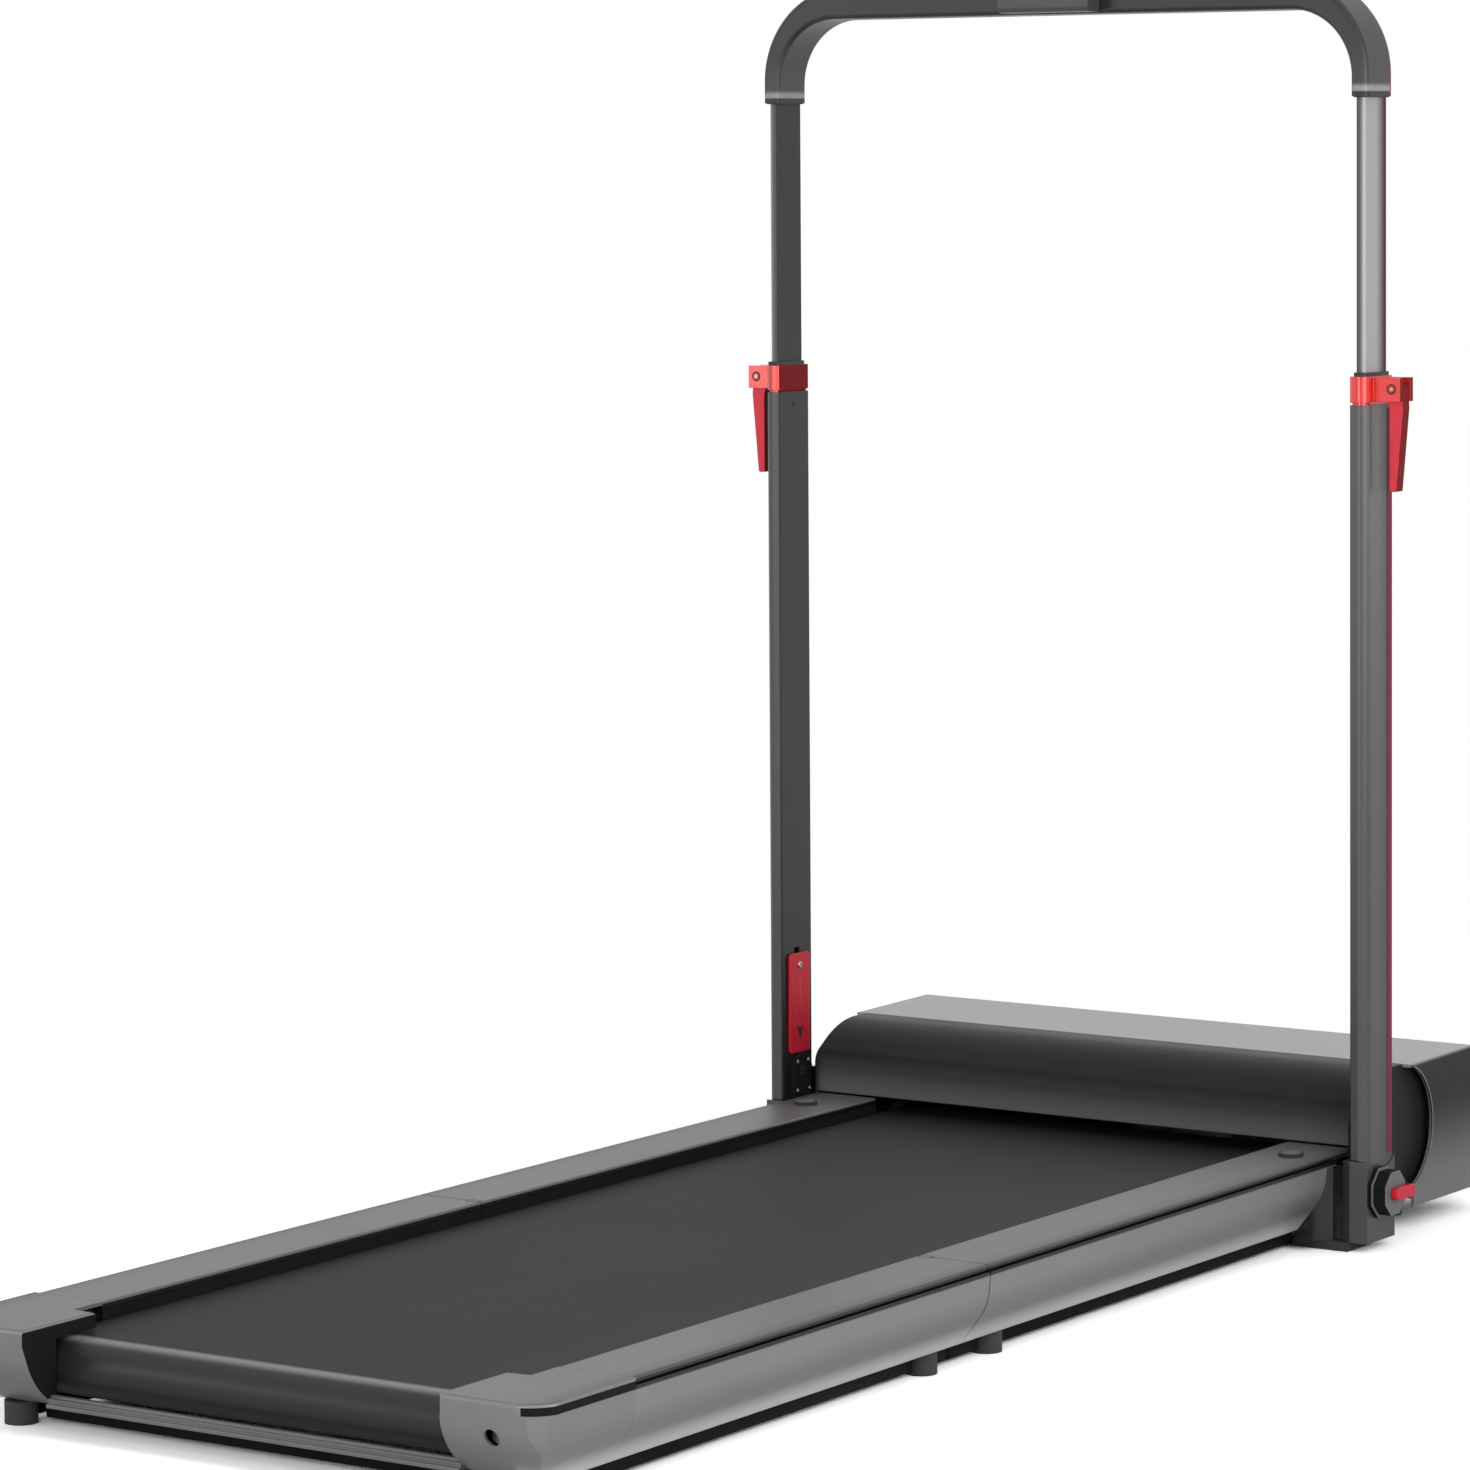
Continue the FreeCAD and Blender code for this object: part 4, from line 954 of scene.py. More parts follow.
# -------------------------------------------------------------- sub-assemblies
class SubAssembly(ABC):
    """A group of nodes and added pieces that is built and dressed together."""

    @abstractmethod
    def build(self) -> None:
        """Make the added pieces."""

    @abstractmethod
    def dress(self) -> None:
        """Give the CAD nodes their finishes."""

    @staticmethod
    def coat(made: bpy.types.Object, finish: Finish) -> None:
        """Put one finish all over an object."""
        made.data.materials.clear()
        made.data.materials.append(finish.material)

    def add(self, made: bpy.types.Object, body: str, slot: str, finish: Finish,
            *nodes: str) -> bpy.types.Object:
        """Finish a piece and hand it to the frame.

        Args:
            made: the piece, in place.
            body: the body it rides on.
            slot: the record's slot of its material; not used.
            finish: its finish.
            nodes: the CAD nodes it stands for.

        Returns:
            The piece.
        """
        self.coat(made, finish)
        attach(made, body)
        if nodes:
            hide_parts(*nodes)
        LOG.info("piece %s on %s: %d faces", made.name, body, len(made.data.polygons))
        return made

    def repeat(self, name: str, part: bpy.types.Object, spots: Sequence[Spot], body: str,
               slot: str, finish: Finish) -> None:
        """Hand over one piece of a part that is set on several spots."""
        self.add(Repeats.place(name, part, spots, finish), body, slot, finish)

    def stand_in(self, name: str, bm: bmesh.types.BMesh, node: str, slot: str, finish: Finish,
                 edge: float = 0.0, segments: int = 2) -> bpy.types.Object:
        """Hand over a piece that stands for a CAD node, on the node's body.

        Args:
            name: the piece's name.
            bm: its mesh.
            node: the CAD node.
            slot: the record's slot of its material.
            finish: its finish.
            edge: the width of its rounded edges.
            segments: faces across the rounding.

        Returns:
            The piece.
        """
        made = new_object(name, bm)
        if edge:
            made = bevelled(made, edge, segments)
        return self.add(made, frame["nodes"][node]["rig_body"], slot, finish, node)

    def soften(self, node: str, edge: float, slot: str, finish: Finish,
               segments: int = 2) -> bpy.types.Object:
        """Stand a copy with rounded edges in for a node."""
        return self.stand_in("soft_" + node, copied(node), node, slot, finish, edge, segments)

    @staticmethod
    def recoat(made: bpy.types.Object, chosen: Callable[[bpy.types.MeshPolygon], int],
               *others: Finish) -> None:
        """Give some faces of a piece other finishes.

        Args:
            made: the piece.
            chosen: the number of a face's finish, 0 for the one that it has.
            others: the finishes from 1 on.
        """
        for finish in others:
            made.data.materials.append(finish.material)
        for face in made.data.polygons:
            face.material_index = int(chosen(face))

    def dress_nodes(self, table: dict[str, Finish]) -> None:
        """Give CAD nodes their finishes, by node name."""
        for node, finish in table.items():
            self.coat(frame["nodes"][node], finish)
            LOG.info("node %s in %s", node, finish.name)


@dataclass
class Studio:
    """Camera, light, floor and backdrop."""

    eye: Point = (2.6063, -3.9203, 0.9683)
    azimuth: float = 34.2736
    pitch: float = 3.0371
    roll: float = -0.3592
    lens: float = 138.4
    shift: Flat = (0.0211, -0.192)
    dome: float = 0.40
    # name, place, the point it faces, side and watts of each lamp
    lamps: tuple[tuple[str, Point, Point, float, float], ...] = (
        ("overhead", (1.3, 0.2, 3.5), (0.0, 0.0, 0.0), 3.2, 9),
        ("front_right", (2.7, -3.0, 2.3), (0.0, 0.1, 0.4), 1.6, 10),
        ("front_left", (-1.95, -2.4, 0.8), (0.0, 0.49, 0.6), 0.95, 8),
        ("tail_front", (0.5, -2.4, 0.6), (0.0, -0.7, 0.05), 0.9, 11),
        ("right_side", (1.75, -0.4, 0.9), (0.3, 0.0, 0.2), 1.1, 13),
    )
    floor_reach: float = 14.0
    floor_clear: Flat = (1.2, 2.1)
    # the floor's grey as a light, in reflections and to the camera
    floor_greys: Point = (0.8, 1.15, 2.1)

    def build(self) -> None:
        """Set up the whole studio."""
        self.camera()
        self.world()
        for row in self.lamps:
            self.lamp(*row)
        self.floor()

    def camera(self) -> None:
        """Set the camera at the viewing angle."""
        az, t, r = (math.radians(a) for a in (self.azimuth, self.pitch, self.roll))
        ahead = Vector((-math.sin(az) * math.cos(t), math.cos(az) * math.cos(t), -math.sin(t)))
        right = Vector((math.cos(az), math.sin(az), 0.0))
        up = right.cross(ahead)
        right, up = (math.cos(r) * right + math.sin(r) * up, math.cos(r) * up - math.sin(r) * right)
        data = bpy.data.cameras.new("camera")
        data.lens, data.sensor_width, data.clip_end = self.lens, 36.0, 60.0
        data.shift_x, data.shift_y = self.shift
        made = bpy.data.objects.new("camera", data)
        turn = Matrix((right, up, -ahead)).transposed()
        made.matrix_world = Matrix.Translation(self.eye) @ turn.to_4x4()
        bpy.context.scene.collection.objects.link(made)
        bpy.context.scene.camera = made
        bpy.context.scene.view_settings.view_transform = "Standard"

    def world(self) -> None:
        """White to look at and in reflections, dimmer as a light."""
        world = bpy.data.worlds.new("studio")
        world.use_nodes = True
        bpy.context.scene.world = world
        world.node_tree.nodes.clear()
        tree = Tree(world.node_tree)
        seen = tree.rays()[1]
        back = tree.node("ShaderNodeBackground", None, {
            "Color": (1, 1, 1, 1), "Strength": self.dome + seen * (1.0 - self.dome)})
        tree.node("ShaderNodeOutputWorld", None, {"Surface": back})

    def lamp(self, name: str, place: Point, aim: Point, size: float, power: float) -> None:
        """Add a soft square lamp.

        Args:
            name: its name.
            place: where it stands.
            aim: the point it faces.
            size: the length of its side.
            power: its power in watts.
        """
        data = bpy.data.lights.new(name, "AREA")
        data.shape, data.size, data.energy = "SQUARE", size, power
        made = bpy.data.objects.new(name, data)
        made.location = place
        made.rotation_euler = (Vector(aim) - Vector(place)).to_track_quat("-Z", "Y").to_euler()
        made.visible_camera = False
        bpy.context.scene.collection.objects.link(made)

    def floor(self) -> None:
        """Lay the pale floor, white in the open and shaded by the object."""
        bm = bmesh.new()
        bmesh.ops.create_grid(bm, x_segments=8, y_segments=8, size=self.floor_reach)
        made = new_object("floor", bm)
        p = Paint("pale_floor")
        direct, seen = p.rays()
        away = p.node("ShaderNodeVectorMath", {"operation": "LENGTH"}, {0: p.spot}, "Value")
        light, mirrored, shown = ((grey, grey, grey, 1) for grey in self.floor_greys)
        tone = p.mixed(direct, p.mixed(seen, light, mirrored), shown)
        matt = p.node("ShaderNodeBsdfDiffuse", None, {"Color": tone})
        glow = p.node("ShaderNodeEmission", None, {"Color": (1, 1, 1, 1), "Strength": 1.0})
        clear = p.band(away, *self.floor_clear) * seen * (1.0 - p.noise(3, 2) * 0.02)
        both = p.node("ShaderNodeMixShader", None, {0: clear, 1: matt, 2: glow})
        p.node("ShaderNodeOutputMaterial", None, {"Surface": both})
        made.data.materials.append(p.material)


@dataclass
class Deck(SubAssembly):
    """What both halves of the deck share."""

    half: str = "front"
    edge: float = 0.0009
    seam: float = -0.118
    seam_reach: float = 0.0007
    flush: float = 0.0847
    knuckle_left: float = 0.08
    # black sheets under the rails and the tail that stand for the shadow beneath them: X, Z, corner
    # and edge
    skirt_x: Flat = (0.2400, 0.2450)
    skirt_z: Flat = (0.0038, 0.0186)
    skirt_corner: float = 0.001
    skirt_edge: float = 0.0004

    def rails(self) -> None:
        """Stand rounded rails and covers in for the nodes."""
        for side in Side:
            self.soften(f"{self.half}_rail_{side.word}", self.edge, "space_grey_metal",
                        Finishes.RAIL)
            self.soften(f"{self.half}_cover_{side.word}", self.edge, "grey_plastic", Finishes.COVER)

    def skirt(self, x: Flat, y: Flat) -> bpy.types.Object:
        """One black sheet that stands for shadow, from its low and high X and Y."""
        return slab("skirt", ring((*x, *y), self.skirt_corner, 3), Axis.Z, *self.skirt_z,
                    edge=self.skirt_edge)

    def skirts(self, runs: Sequence[Flat]) -> list[bpy.types.Object]:
        """Black sheets under both rails that stand for the shadow beneath them, along stretches of
        Y that clear the feet.
        """
        return [self.skirt(side.span(*self.skirt_x), run) for side in Side for run in runs]

    def hinges(self) -> None:
        """Stand in hinge leaves whose knuckles lie flush with the covers."""
        node = f"{self.half}_hinge_leaves"
        bm = copied(node, flatten=False)
        for vert in bm.verts:
            rise = vert.co.z - self.flush
            if rise > 0:
                vert.co.z = self.flush + self.knuckle_left * rise
        self.stand_in(f"flush_hinges_{self.half}", bm, node, "grey_plastic", Finishes.COVER)

    def belt(self) -> None:
        """Stand in a belt half that closes up to the other at the seam."""
        node = f"belt_{self.half}"
        bm = copied(node)
        for vert in bm.verts:
            if abs(vert.co.y - self.seam) < self.seam_reach:
                vert.co.y = self.seam
        self.stand_in(f"running_belt_{self.half}", bm, node, "belt_rubber", Finishes.BELT)

    def dress(self) -> None:
        """Give the CAD nodes their finishes."""
        names = {"guides": Finishes.INNER, "deck_board": Finishes.WOOD,
                 "frame": Finishes.BLACK_STEEL, "roller": Finishes.STEEL,
                 "axle": Finishes.STEEL, "feet": Finishes.FOOT}
        self.dress_nodes({f"{self.half}_{name}": finish for name, finish in names.items()})


@dataclass
class FrontDeck(Deck):
    """Front half of the deck: rails, covers, belt and what carries them."""

    disc_radius: float = 0.0086
    disc_rise: float = 0.0005
    disc_foot: float = -0.001
    runs: tuple[Flat, ...] = ((-0.1172, -0.0712), (-0.0428, 0.4600))

    def build(self) -> None:
        """Make the added pieces."""
        self.rails()
        self.belt()
        self.hinges()
        # black sheets standing for the shadow under the front rails
        self.add(merged("front_skirts", self.skirts(self.runs)), "base", "black_rubber",
                 Finishes.INNER)
        self.bumper_discs()

    def bumper_discs(self) -> None:
        """Grey discs let into the tops of the fold bumpers."""
        low, high, mid = middle("fold_bumpers")
        reach = high.x - (high.y - low.y) / 2
        r, rise, foot = self.disc_radius, self.disc_rise, self.disc_foot
        profile = [(0, foot), (r, foot), (r, 0.0), (r - rise, rise), (0, rise)]
        discs = [turned("disc", profile, Axis.Z, (side.value * reach, mid.y, high.z))
                 for side in Side]
        self.add(merged("bumper_discs", discs), "base", "grey_plastic", Finishes.COVER)

    def dress(self) -> None:
        """Give the CAD nodes their finishes."""
        super().dress()
        self.dress_nodes({"fold_bumpers": Finishes.RUBBER})


@dataclass
class RearDeck(Deck):
    """Rear half of the deck, which folds over the front half."""

    half: str = "rear"
    runs: tuple[Flat, ...] = ((-0.6580, -0.1704), (-0.1422, -0.1188))
    # X and Y of the black sheet across the tail that stands for the shadow under it
    tail_x: Flat = (-0.229, 0.229)
    tail_y: Flat = (-0.664, -0.659)
    cap_edge: float = 0.0005
    top_chamfer: float = 0.0028
    inner_wall: float = 0.03
    corner: Point = (0.259, -0.700, 0.028)
    cap_side: float = 0.2858
    cap_start: float = -0.610
    line_z: Flat = (0.0764, 0.0825)
    line_skins: Flat = (0.0001, -0.0010)
    rim_radius: float = 0.0070
    rim_wire: float = 0.0006
    end_round: float = 0.066
    end_brow: float = 0.003

    def build(self) -> None:
        """Make the added pieces."""
        self.rails()
        self.belt()
        self.hinges()
        # a black sheet across the tail standing for the shadow under it
        tail = self.skirt(self.tail_x, self.tail_y)
        self.add(merged("rear_skirts", self.skirts(self.runs) + [tail]), "rear_deck",
                 "black_rubber", Finishes.INNER)
        for side in Side:
            self.cap(side)
        self.cap_grooves()
        self.soften("tail_guard", self.cap_edge, "black_plastic", Finishes.GUARD)
        self.hole_rims()

    def cap(self, side: Side) -> None:
        """A tail cap with a chamfered top and a black inner wall.

        Args:
            side: the side it closes.
        """
        node = f"tail_cap_{side.word}"
        low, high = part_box(node)
        bm = copied(node)
        brow = [e for e in bm.edges if len(e.link_faces) == 2
                and min(v.co.z for v in e.verts) > high.z - 1e-4
                and max(v.co.y for v in e.verts) < high.y - 1e-3
                and e.calc_face_angle(0.0) > math.radians(40)]
        bmesh.ops.bevel(bm, geom=brow, offset=self.top_chamfer, segments=3, profile=0.5,
                        affect="EDGES", clamp_overlap=True)
        made = self.stand_in("soft_" + node, bm, node, "grey_plastic", Finishes.CAP, self.cap_edge)
        inner = min(abs(low.x), abs(high.x)) + self.inner_wall

        def chosen(face: bpy.types.MeshPolygon) -> int:
            """1 on the inner wall, 2 on the top, 0 elsewhere."""
            spot, inward = face.center, -side.value * face.normal.x
            if inward > 0.6 and abs(spot.x) < inner and spot.z < high.z - 0.002:
                return 1
            return 2 if face.normal.z > 0.95 and spot.z > high.z - 0.0004 else 0

        self.recoat(made, chosen, Finishes.INNER, Finishes.COVER)

    def cap_grooves(self) -> None:
        """Black strips of painted shade for the groove under the covers, led on round the corners
        of the caps.
        """
        x0, y0, radius = self.corner
        edge = []
        for shift, order in zip(self.line_skins, (1, -1)):
            side_x = self.cap_side + shift
            bend = [polar(radius + shift, math.radians(a)) for a in range(-72, -15, 4)]
            row = [(min(x0 + du, side_x), y0 + dv) for du, dv in bend] + [(side_x, self.cap_start)]
            edge += row[::order]
        lines = [slab("line", [(side.value * x, y) for x, y in edge], Axis.Z, *self.line_z)
                 for side in Side]
        self.add(merged("cap_grooves", lines), "rear_deck", "black_plastic", Finishes.INNER)

    def hole_rims(self) -> None:
        """Thin pale rims round the openings over the tension bolts."""
        low, high, mid = middle("tension_bolts")
        cap_low, cap_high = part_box("tail_cap_right")
        x, z = high.x - (high.z - low.z) / 2, mid.z
        round_y, round_z = cap_low.y + self.end_round, cap_high.z - self.end_brow
        rims = []
        for side in Side:
            bm = bmesh.new()
            rows = []
            for i in range(32):
                row = []
                for j in range(8):
                    wide, deep = polar(self.rim_wire, 2 * math.pi * j / 8)
                    du, dv = polar(self.rim_radius + wide, 2 * math.pi * i / 32)
                    wall = round_y - math.sqrt(self.end_round ** 2 - (round_z - z - dv) ** 2)
                    row.append(bm.verts.new((side.value * (x + du),
                                             wall + 0.4 * self.rim_wire - deep, z + dv)))
                rows.append(row)
            skin(bm, rows + rows[:1])
            rims.append(new_object("rim", bm))
        self.add(merged("bolt_hole_rims", rims), "rear_deck", "grey_plastic", Finishes.CAP)

    def dress(self) -> None:
        """Give the CAD nodes their finishes."""
        super().dress()
        self.dress_nodes({"tension_bolts": Finishes.STEEL})


@dataclass
class MotorHead(SubAssembly):
    """Motor hood, nose, base pan and what they house."""

    edge: float = 0.0012
    end_round: float = 0.0095
    bite_centre: Flat = (0.572, 0.093)
    bite_radius: float = 0.057
    bite_margin: float = 0.002
    bite_steps: int = 40
    rim: float = 0.0012
    rim_skins: Flat = (-0.0006, 0.0003)
    vent_size: Flat = (0.0045, 0.026)
    vent_skins: Flat = (-0.0004, 0.0003)
    vent_count: int = 16
    vent_step: float = 0.0125
    vent_middle: Flat = (-0.06, 0.078)
    blade_half: Flat = (0.0019, 0.0009)
    blade_depth: Flat = (-0.011, -0.002)
    blade_spots: tuple[Flat, ...] = ((-0.006, -0.002), (0.006, -0.002), (0.0, 0.004))
    bar_z: Flat = (0.003, 0.0062)
    bar_y: Flat = (-0.0018, -0.0009)
    bar_half: float = 0.0005
    bore: float = 0.0036

    def build(self) -> None:
        """Make the added pieces."""
        self.hood()
        self.soften("nose_panel", self.edge, "black_plastic", Finishes.NOSE, 3)
        self.bite_rims()
        self.vents()
        self.inlet_blades()
        self.rocker_marks()
        self.wheel_hubs()

    def hood(self) -> None:
        """Stand in a hood whose top rolls over into its ends."""
        bm = copied("hood_cover")
        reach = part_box("hood_cover")[1].x - 1e-4
        brow = []
        for edge in bm.edges:
            if len(edge.link_faces) == 2 and all(abs(v.co.x) > reach for v in edge.verts):
                tilts = sorted((f.normal for f in edge.link_faces), key=lambda n: abs(n.x))
                if abs(tilts[1].x) > 0.9 and tilts[0].z > 0.5:
                    brow.append(edge)
        bmesh.ops.bevel(bm, geom=brow, offset=self.end_round, segments=6, profile=0.5,
                        affect="EDGES", clamp_overlap=True)
        made = self.stand_in("soft_hood_cover", bm, "hood_cover", "grey_plastic", Finishes.HOOD,
                             self.edge)
        self.recoat(made, lambda face: abs(face.normal.x) > 0.8, Finishes.HOOD_END)

    def bite_rims(self) -> None:
        """Bright rims along the round openings in the hood's ends."""
        low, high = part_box("hood_cover")
        y0, z0 = self.bite_centre
        limit = math.acos((low.y + self.bite_margin - y0) / self.bite_radius)
        angles = [-limit + 2 * limit * i / self.bite_steps for i in range(self.bite_steps + 1)]
        line = []
        for r, order in ((self.bite_radius, 1), (self.bite_radius + self.rim, -1)):
            line += [(y0 + u, z0 + v) for u, v in (polar(r, a) for a in angles[::order])]
        ends = [high.x + skin_x for skin_x in self.rim_skins]
        arcs = [slab("arc", line, Axis.X, *side.span(*ends)) for side in Side]
        self.add(merged("hood_bite_rims", arcs), "base", "grey_plastic", Finishes.CAP)

    def vents(self) -> None:
        """A row of dark vent slots across the back of the hood."""
        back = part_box("hood_cover")[1].y
        w, h = self.vent_size
        part = slab("vent", ring((-w / 2, w / 2, -h / 2, h / 2), w / 2.01, 5), Axis.Z,
                    *self.vent_skins)
        x, z = self.vent_middle
        first = x - self.vent_step * (self.vent_count - 1) / 2
        spots = [((first + self.vent_step * i, back, z), BACK) for i in range(self.vent_count)]
        self.repeat("hood_vents", part, spots, "base", "black_plastic", Finishes.BLACK)

    def inlet_blades(self) -> None:
        """Three flat contact blades in the power inlet."""
        _, high, mid = middle("power_inlet")
        u, v = self.blade_half
        part = slab("blade", ring((-u, u, -v, v), 0.0004, 3), Axis.Z, *self.blade_depth,
                    edge=0.0002)
        spots = [((mid.x + dx, high.y, mid.z + dz), BACK) for dx, dz in self.blade_spots]
        self.repeat("inlet_blades", part, spots, "base", "bare_steel", Finishes.STEEL)

    def rocker_marks(self) -> None:
        """A raised bar on the upper end of the rocker."""
        _, high, mid = middle("power_rocker")
        z = [mid.z + rise for rise in self.bar_z]
        line = ring((*z, mid.x - self.bar_half, mid.x + self.bar_half), 0.0003, 2)
        self.add(slab("bar", line, Axis.Y, *(high.y + y for y in self.bar_y)), "power_rocker",
                 "black_plastic", Finishes.PALE)

    def wheel_hubs(self) -> None:
        """Turned hub discs on the outer faces of the transport wheels."""
        for side in Side:
            node = f"wheel_{side.word}"
            low, high, mid = middle(node)
            r = (high.z - low.z) / 2
            steps = ((self.bore, -0.001), (0.72 * r, -0.001), (0.72 * r, 0.0), (0.66 * r, 0.00025),
                     (0.45 * r, 0.00025), (0.40 * r, -0.0004), (self.bore, -0.0004),
                     (self.bore, -0.001))
            profile = [(radius, side.value * h) for radius, h in steps]
            centre = (high.x if side is Side.RIGHT else low.x, mid.y, mid.z)
            self.add(turned(f"wheel_hub_{side.word}", profile, Axis.X, centre), node,
                     "black_plastic", Finishes.BRACKET)

    def dress(self) -> None:
        """Give the CAD nodes their finishes."""
        self.dress_nodes({
            "base_pan": Finishes.BLACK, "motor_body": Finishes.BLACK_STEEL,
            "motor_rotor": Finishes.STEEL, "drive_belt": Finishes.DRIVE,
            "control_board": Finishes.BOARD, "power_inlet": Finishes.BLACK,
            "switch_frame": Finishes.BLACK, "power_rocker": Finishes.BRACKET,
            "wheel_left": Finishes.RUBBER, "wheel_right": Finishes.RUBBER,
        })


@dataclass
class Handrail(SubAssembly):
    """Folding handrail: brackets, columns, clamps, tubes and handle."""

    edge: float = 0.0006
    knob_edge: float = 0.0008
    column_y: float = 0.4919
    column_x: Flat = (0.2983, 0.3150)
    strip_y: Flat = (0.5054, 0.5141)
    strip_z: Flat = (0.083, 0.742)
    strip_skins: Flat = (-0.0006, 0.0005)
    tube_x: Flat = (0.30235, 0.31095)
    tube_half: float = 0.0206
    tube_corner: float = 0.0022
    line_y: Flat = (0.5068, 0.5108)
    line_skins: Flat = (-0.0005, 0.00015)
    pin: Flat = (0.3325, 0.759)
    ear_half: float = 0.01225
    ear_start: float = 0.3262
    lever_head: float = 0.0073
    lever_width: float = 0.0125
    lever_lean: float = 0.0055
    lever_neck: Flat = (0.010, 0.018)
    lever_shoulder: Flat = (0.001, 0.017)
    lever_tip: float = 0.001
    lever_edge: float = 0.0008
    # wall and slip of the rings round the tubes, and their low and high faces
    wiper: Flat = (0.0024, 0.00035)
    wiper_z: Flat = (-0.0003, 0.0034)
    foot_ring: Flat = (0.0030, 0.0001)
    foot_ring_z: Flat = (-0.0008, 0.0004)
    cheek_z: float = 0.0815
    pivot_z: float = 0.1065
    cheek_spots: tuple[Flat, ...] = ((-0.0095, -0.0185), (0.0110, -0.0185), (-0.0088, 0.0085),
                                     (0.0088, 0.0085))
    # radius and height of the screws' heads
    cheek_screw: Flat = (0.0021, 0.0011)
    column_screw: Flat = (0.0026, 0.0006)
    latch_screw: Flat = (0.0034, 0.0012)
    column_screw_z: float = 0.733
    latch_screw_drop: float = 0.0115
    arrow_half: float = 0.0055
    arrow_z: Point = (0.013, 0.0225, 0.026)
    mark_half: float = 0.0006
    mark_ends: Flat = (0.034, -0.022)
    display_half: float = 0.024
    display_margin: float = 0.003
    key_x: Point = (-0.036, 0.032, 0.041)

    def build(self) -> None:
        """Make the added pieces."""
        for side in Side:
            self.bracket(side)
            self.collar(side)
            self.lever(side)
            self.trim(side)
            self.tube_trim(side)
            self.shim(side)
            self.bend_ring(side)
        self.soften("latch_slider", self.edge, "red_anodised", Finishes.LATCH)
        self.soften("knob_wing", self.knob_edge, "red_anodised", Finishes.LATCH)
        knob = self.soften("fold_knob", self.knob_edge, "black_plastic", Finishes.KNOB)
        # the knob's sides in near-black: painted shade in the gap round it
        self.recoat(knob, lambda face: abs(face.normal.x) < 0.6, Finishes.INNER)
        self.screws()
        self.ear_pins()
        self.latch_marks()
        self.console_face()

    def bracket(self, side: Side) -> None:
        """A bracket with its hinge cheek in black."""
        made = self.soften(f"column_bracket_{side.word}", self.edge, "black_plastic",
                           Finishes.SOCKET)
        self.recoat(made, lambda face: face.center.z > self.cheek_z, Finishes.INNER)

    def collar(self, side: Side) -> None:
        """A clamp collar, with painted shade on its inner face and on the flanks of its ears."""
        made = self.soften(f"clamp_collar_{side.word}", self.edge, "red_anodised", Finishes.COLLAR)
        self.recoat(made, lambda face: (
            -side.value * face.normal.x > 0.92
            or abs(face.normal.x) > 0.6 and abs(face.center.x) > self.ear_start), Finishes.FLANK)

    def lever(self, side: Side) -> None:
        """A slim clamp lever that hangs from its pin beside the column.

        Args:
            side: its side.
        """
        node = f"clamp_lever_{side.word}"
        low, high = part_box(node)
        x, z = self.pin
        r = self.lever_head
        head = [(x + u, z + v) for u, v in (polar(r, math.radians(a)) for a in range(0, 181, 15))]
        near, far, tip = x + r - self.lever_width, x + r - self.lever_lean, self.lever_tip
        line = head + [(x - r, z - self.lever_neck[0]), (near, z - self.lever_neck[1]),
                       (near, low.z + tip), (near + tip, low.z), (far - tip, low.z),
                       (far, low.z + tip),
                       (x + r + self.lever_shoulder[0], z - self.lever_shoulder[1])]
        made = slab("slim_" + node, [(v, side.value * u) for u, v in line], Axis.Y, low.y, high.y,
                    edge=self.lever_edge)
        self.add(made, node, "red_anodised", Finishes.RED, node)
        # painted shade on the lever's flanks
        self.recoat(made, lambda face: abs(face.normal.x) > 0.6, Finishes.FLANK)

    def trim(self, side: Side) -> None:
        """The red line down the outer rear edge of a column."""
        ends = side.span(*(self.column_x[1] + s for s in self.strip_skins))
        made = slab(f"column_trim_{side.word}", ring((*self.strip_y, *self.strip_z), 0.001, 3),
                    Axis.X, *ends, edge=0.0003)
        self.add(made, "handrail", "red_anodised", Finishes.TRIM)

    def tube_trim(self, side: Side) -> None:
        """The thin dark red line down the outer rear edge of an upper tube."""
        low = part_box(f"clamp_collar_{side.word}")[1].z - 0.005
        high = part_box(f"handle_bend_{side.word}")[0].z - 0.001
        ends = side.span(*(self.tube_x[1] + s for s in self.line_skins))
        made = slab(f"tube_trim_{side.word}", ring((*self.line_y, low, high), 0.0005, 3), Axis.X,
                    *ends)
        self.add(made, "handle", "red_anodised", Finishes.TUBE_TRIM)

    def sleeve(self, name: str, side: Side, fit: Flat, ends: Sequence[float]) -> bpy.types.Object:
        """A ring round an upper tube.

        Args:
            name: the piece's name.
            side: the tube's side.
            fit: the ring's thickness and the clearance inside it.
            ends: its lower and upper face.

        Returns:
            The piece.
        """
        wall, slip = fit

        def line(grow: float) -> list[Flat]:
            """The tube's section grown on all sides."""
            reach = self.tube_half + grow
            xs = side.span(self.tube_x[0] - grow, self.tube_x[1] + grow)
            return ring((*xs, self.column_y - reach, self.column_y + reach),
                        self.tube_corner + grow, 5)

        return slab(name, line(slip + wall), Axis.Z, *ends, line(slip), 0.0004)

    def shim(self, side: Side) -> None:
        """The black wiper ring on top of a clamp collar."""
        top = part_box(f"clamp_collar_{side.word}")[1].z
        made = self.sleeve(f"collar_wiper_{side.word}", side, self.wiper,
                           [top + z for z in self.wiper_z])
        self.add(made, "handrail", "black_plastic", Finishes.BLACK)

    def bend_ring(self, side: Side) -> None:
        """The dark ring at the foot of a handle bend."""
        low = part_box(f"handle_bend_{side.word}")[0].z
        made = self.sleeve(f"bend_ring_{side.word}", side, self.foot_ring,
                           [low + z for z in self.foot_ring_z])
        self.add(made, "handle", "black_plastic", Finishes.BLACK)

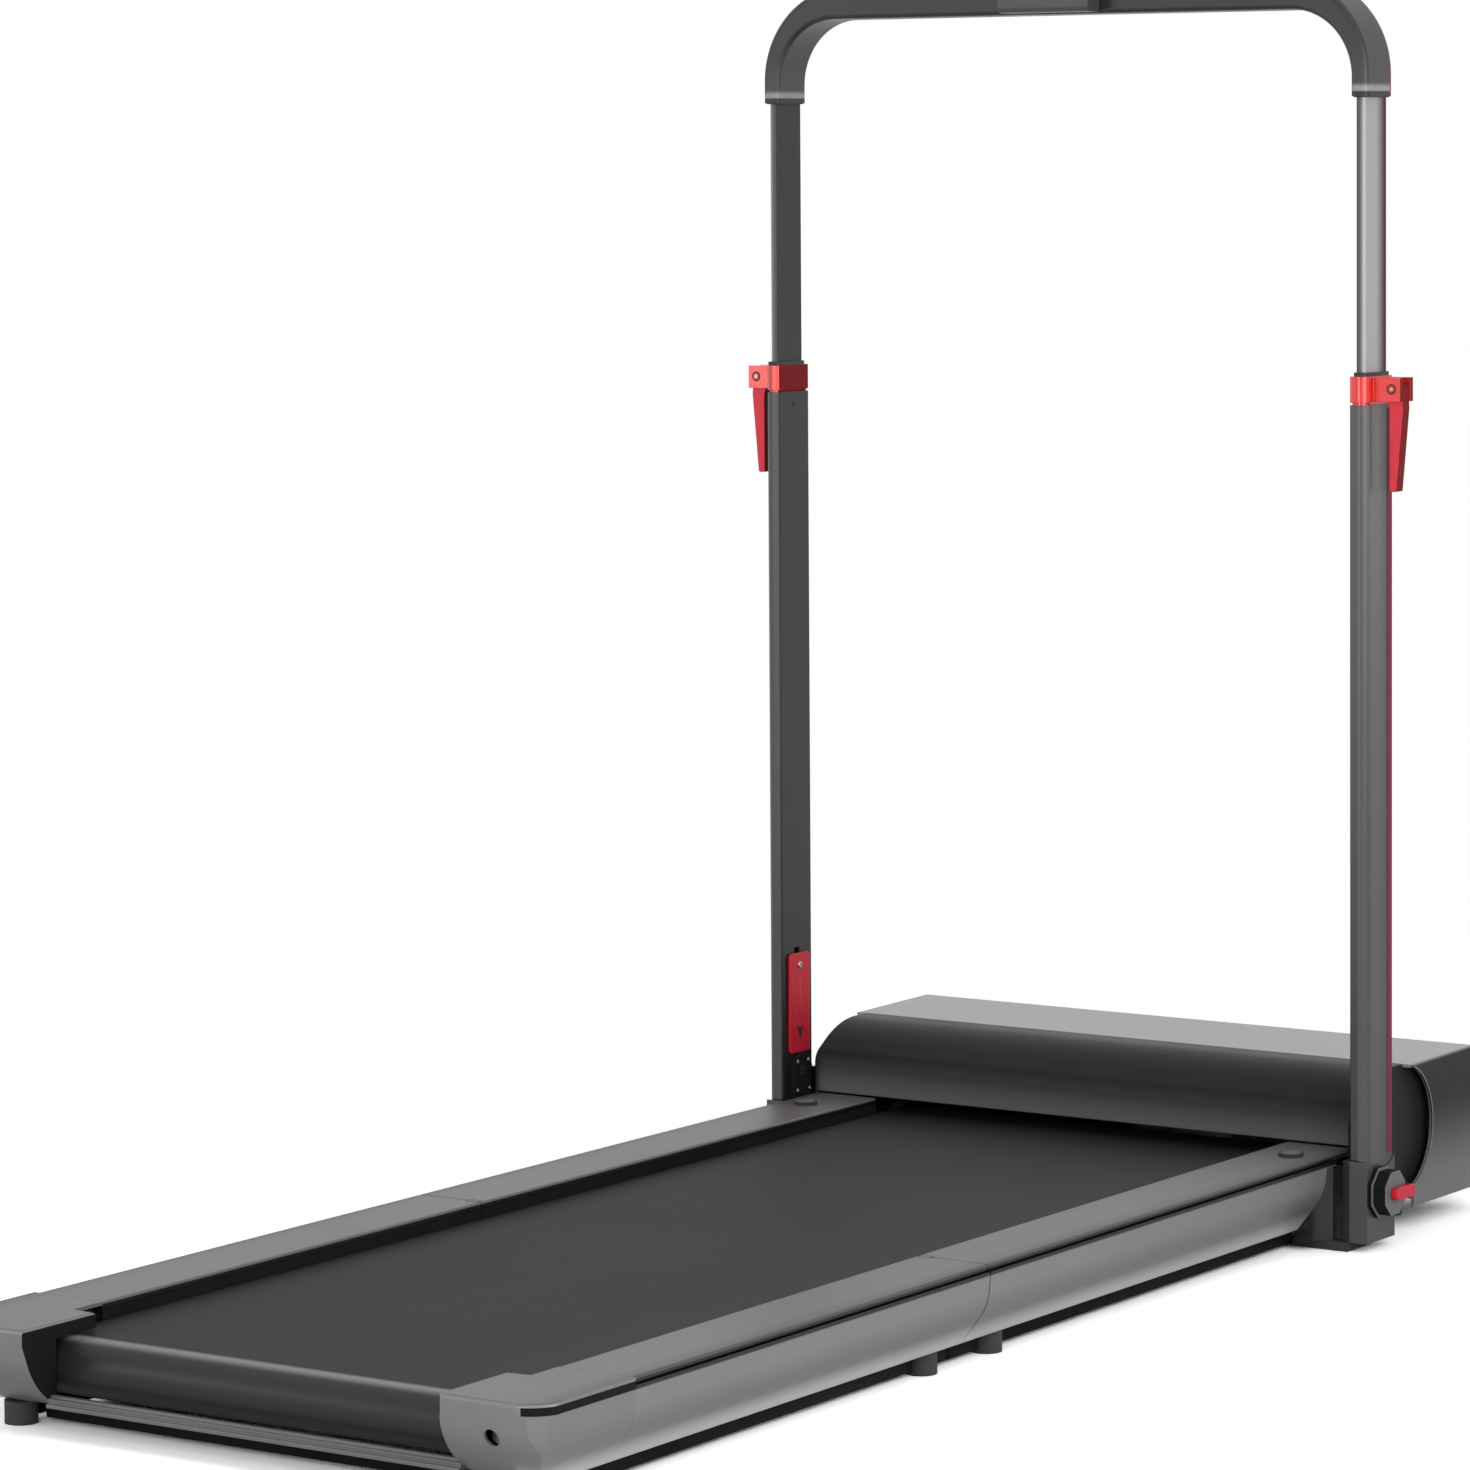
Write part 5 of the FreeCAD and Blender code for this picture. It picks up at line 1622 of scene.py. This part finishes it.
    def screws(self) -> None:
        """Small screws on the hinge cheeks, the columns and the latch."""
        cheek, column = [], []
        for side in Side:
            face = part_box(f"column_bracket_{side.word}")
            x = min(abs(face[0].x), abs(face[1].x)) * side.value
            inward = (-side.value, 0.0, 0.0)
            cheek += [((x, self.column_y + dy, self.pivot_z + dz), inward)
                      for dy, dz in self.cheek_spots]
            column.append(((side.value * self.column_x[0], self.column_y, self.column_screw_z),
                           inward))
        _, high, mid = middle("latch_slider")
        latch = [((high.x, mid.y, high.z - self.latch_screw_drop), (1.0, 0.0, 0.0))]
        self.repeat("cheek_screws", socket_screw(*self.cheek_screw), cheek, "base", "bare_steel",
                    Finishes.STEEL)
        self.repeat("column_screws", socket_screw(*self.column_screw), column, "handrail",
                    "black_plastic", Finishes.BLACK)
        self.repeat("latch_screw", socket_screw(*self.latch_screw), latch, "latch_slider",
                    "bare_steel", Finishes.STEEL)

    def ear_pins(self) -> None:
        """Steel pin ends in dark rings on both faces of the clamp ears."""
        x, z = self.pin
        spots = [((side.value * x, self.column_y + way * self.ear_half, z), (0.0, way, 0.0))
                 for side in Side for way in (-1.0, 1.0)]
        foot, pin, rim = -0.0005, 0.0013, 0.0046
        head = [(0, foot), (pin, foot), (pin, 0.0003), (pin - 0.0003, 0.0006), (0, 0.0006)]
        dark = [(pin, foot), (rim, foot), (rim, 0.0002), (rim - 0.0003, 0.0004), (pin, 0.0004),
                (pin, foot)]
        self.repeat("ear_pin_ends", turned("pin", head, Axis.Z, ORIGIN, 20), spots, "handrail",
                    "bare_steel", Finishes.STEEL)
        self.repeat("ear_pin_rings", turned("ring", dark, Axis.Z, ORIGIN, 24), spots, "handrail",
                    "black_plastic", Finishes.BLACK)

    def latch_marks(self) -> None:
        """A dark arrow and a red line on the latch slider."""
        low, high, mid = middle("latch_slider")
        x, y, half = high.x, mid.y, self.arrow_half
        tip, notch, wing = (low.z + rise for rise in self.arrow_z)
        arrow = [(y - half, wing), (y, tip), (y + half, wing), (y, notch)]
        self.add(slab("latch_arrow", arrow, Axis.X, x - 0.0003, x + 0.0003), "latch_slider",
                 "black_plastic", Finishes.BLACK)
        line = ring((y - self.mark_half, y + self.mark_half, low.z + self.mark_ends[0],
                     high.z + self.mark_ends[1]), 0.0004, 2)
        self.add(slab("latch_line", line, Axis.X, x - 0.0003, x + 0.0002), "latch_slider",
                 "red_anodised", Finishes.COLLAR)

    def console_face(self) -> None:
        """A smoked display and three round keys on top of the console."""
        low, high, mid = middle("console_pod")
        top, half = high.z, self.display_half
        half_y = (high.y - low.y) / 2 - self.display_margin
        glass = ring((-half, half, mid.y - half_y, mid.y + half_y), self.display_margin, 5)
        self.add(slab("console_display", glass, Axis.Z, top - 0.0006, top - 0.00005, edge=0.0002),
                 "handle", "black_plastic", Finishes.GLASS)
        key = [(0, -0.0006), (0.0036, -0.0006), (0.0036, -0.0001), (0.0031, 0.0), (0, -0.0002)]
        spots = [((x, mid.y, top), UP) for x in self.key_x]
        self.repeat("console_keys", turned("key", key, Axis.Z, ORIGIN, 24), spots, "handle",
                    "black_plastic", Finishes.PALE)

    def dress(self) -> None:
        """Give the CAD nodes their finishes."""
        table: dict[str, Finish] = {
            "pivot_pins": Finishes.STEEL, "column_gussets": Finishes.GUSSET,
            "handle_bar": Finishes.HANDLE, "console_pod": Finishes.CONSOLE,
        }
        for side in Side:
            table[f"column_{side.word}"] = Finishes.COLUMN
            table[f"upper_tube_{side.word}"] = Finishes.TUBE
            table[f"handle_bend_{side.word}"] = Finishes.BEND
        self.dress_nodes(table)


def main() -> None:
    """Build the studio and every sub-assembly, and report each piece."""
    logging.basicConfig(level=logging.INFO, format="%(message)s")
    Studio().build()
    for part in (FrontDeck(), RearDeck(), MotorHead(), Handrail()):
        part.build()
        part.dress()


if __name__ == "__main__":
    main()
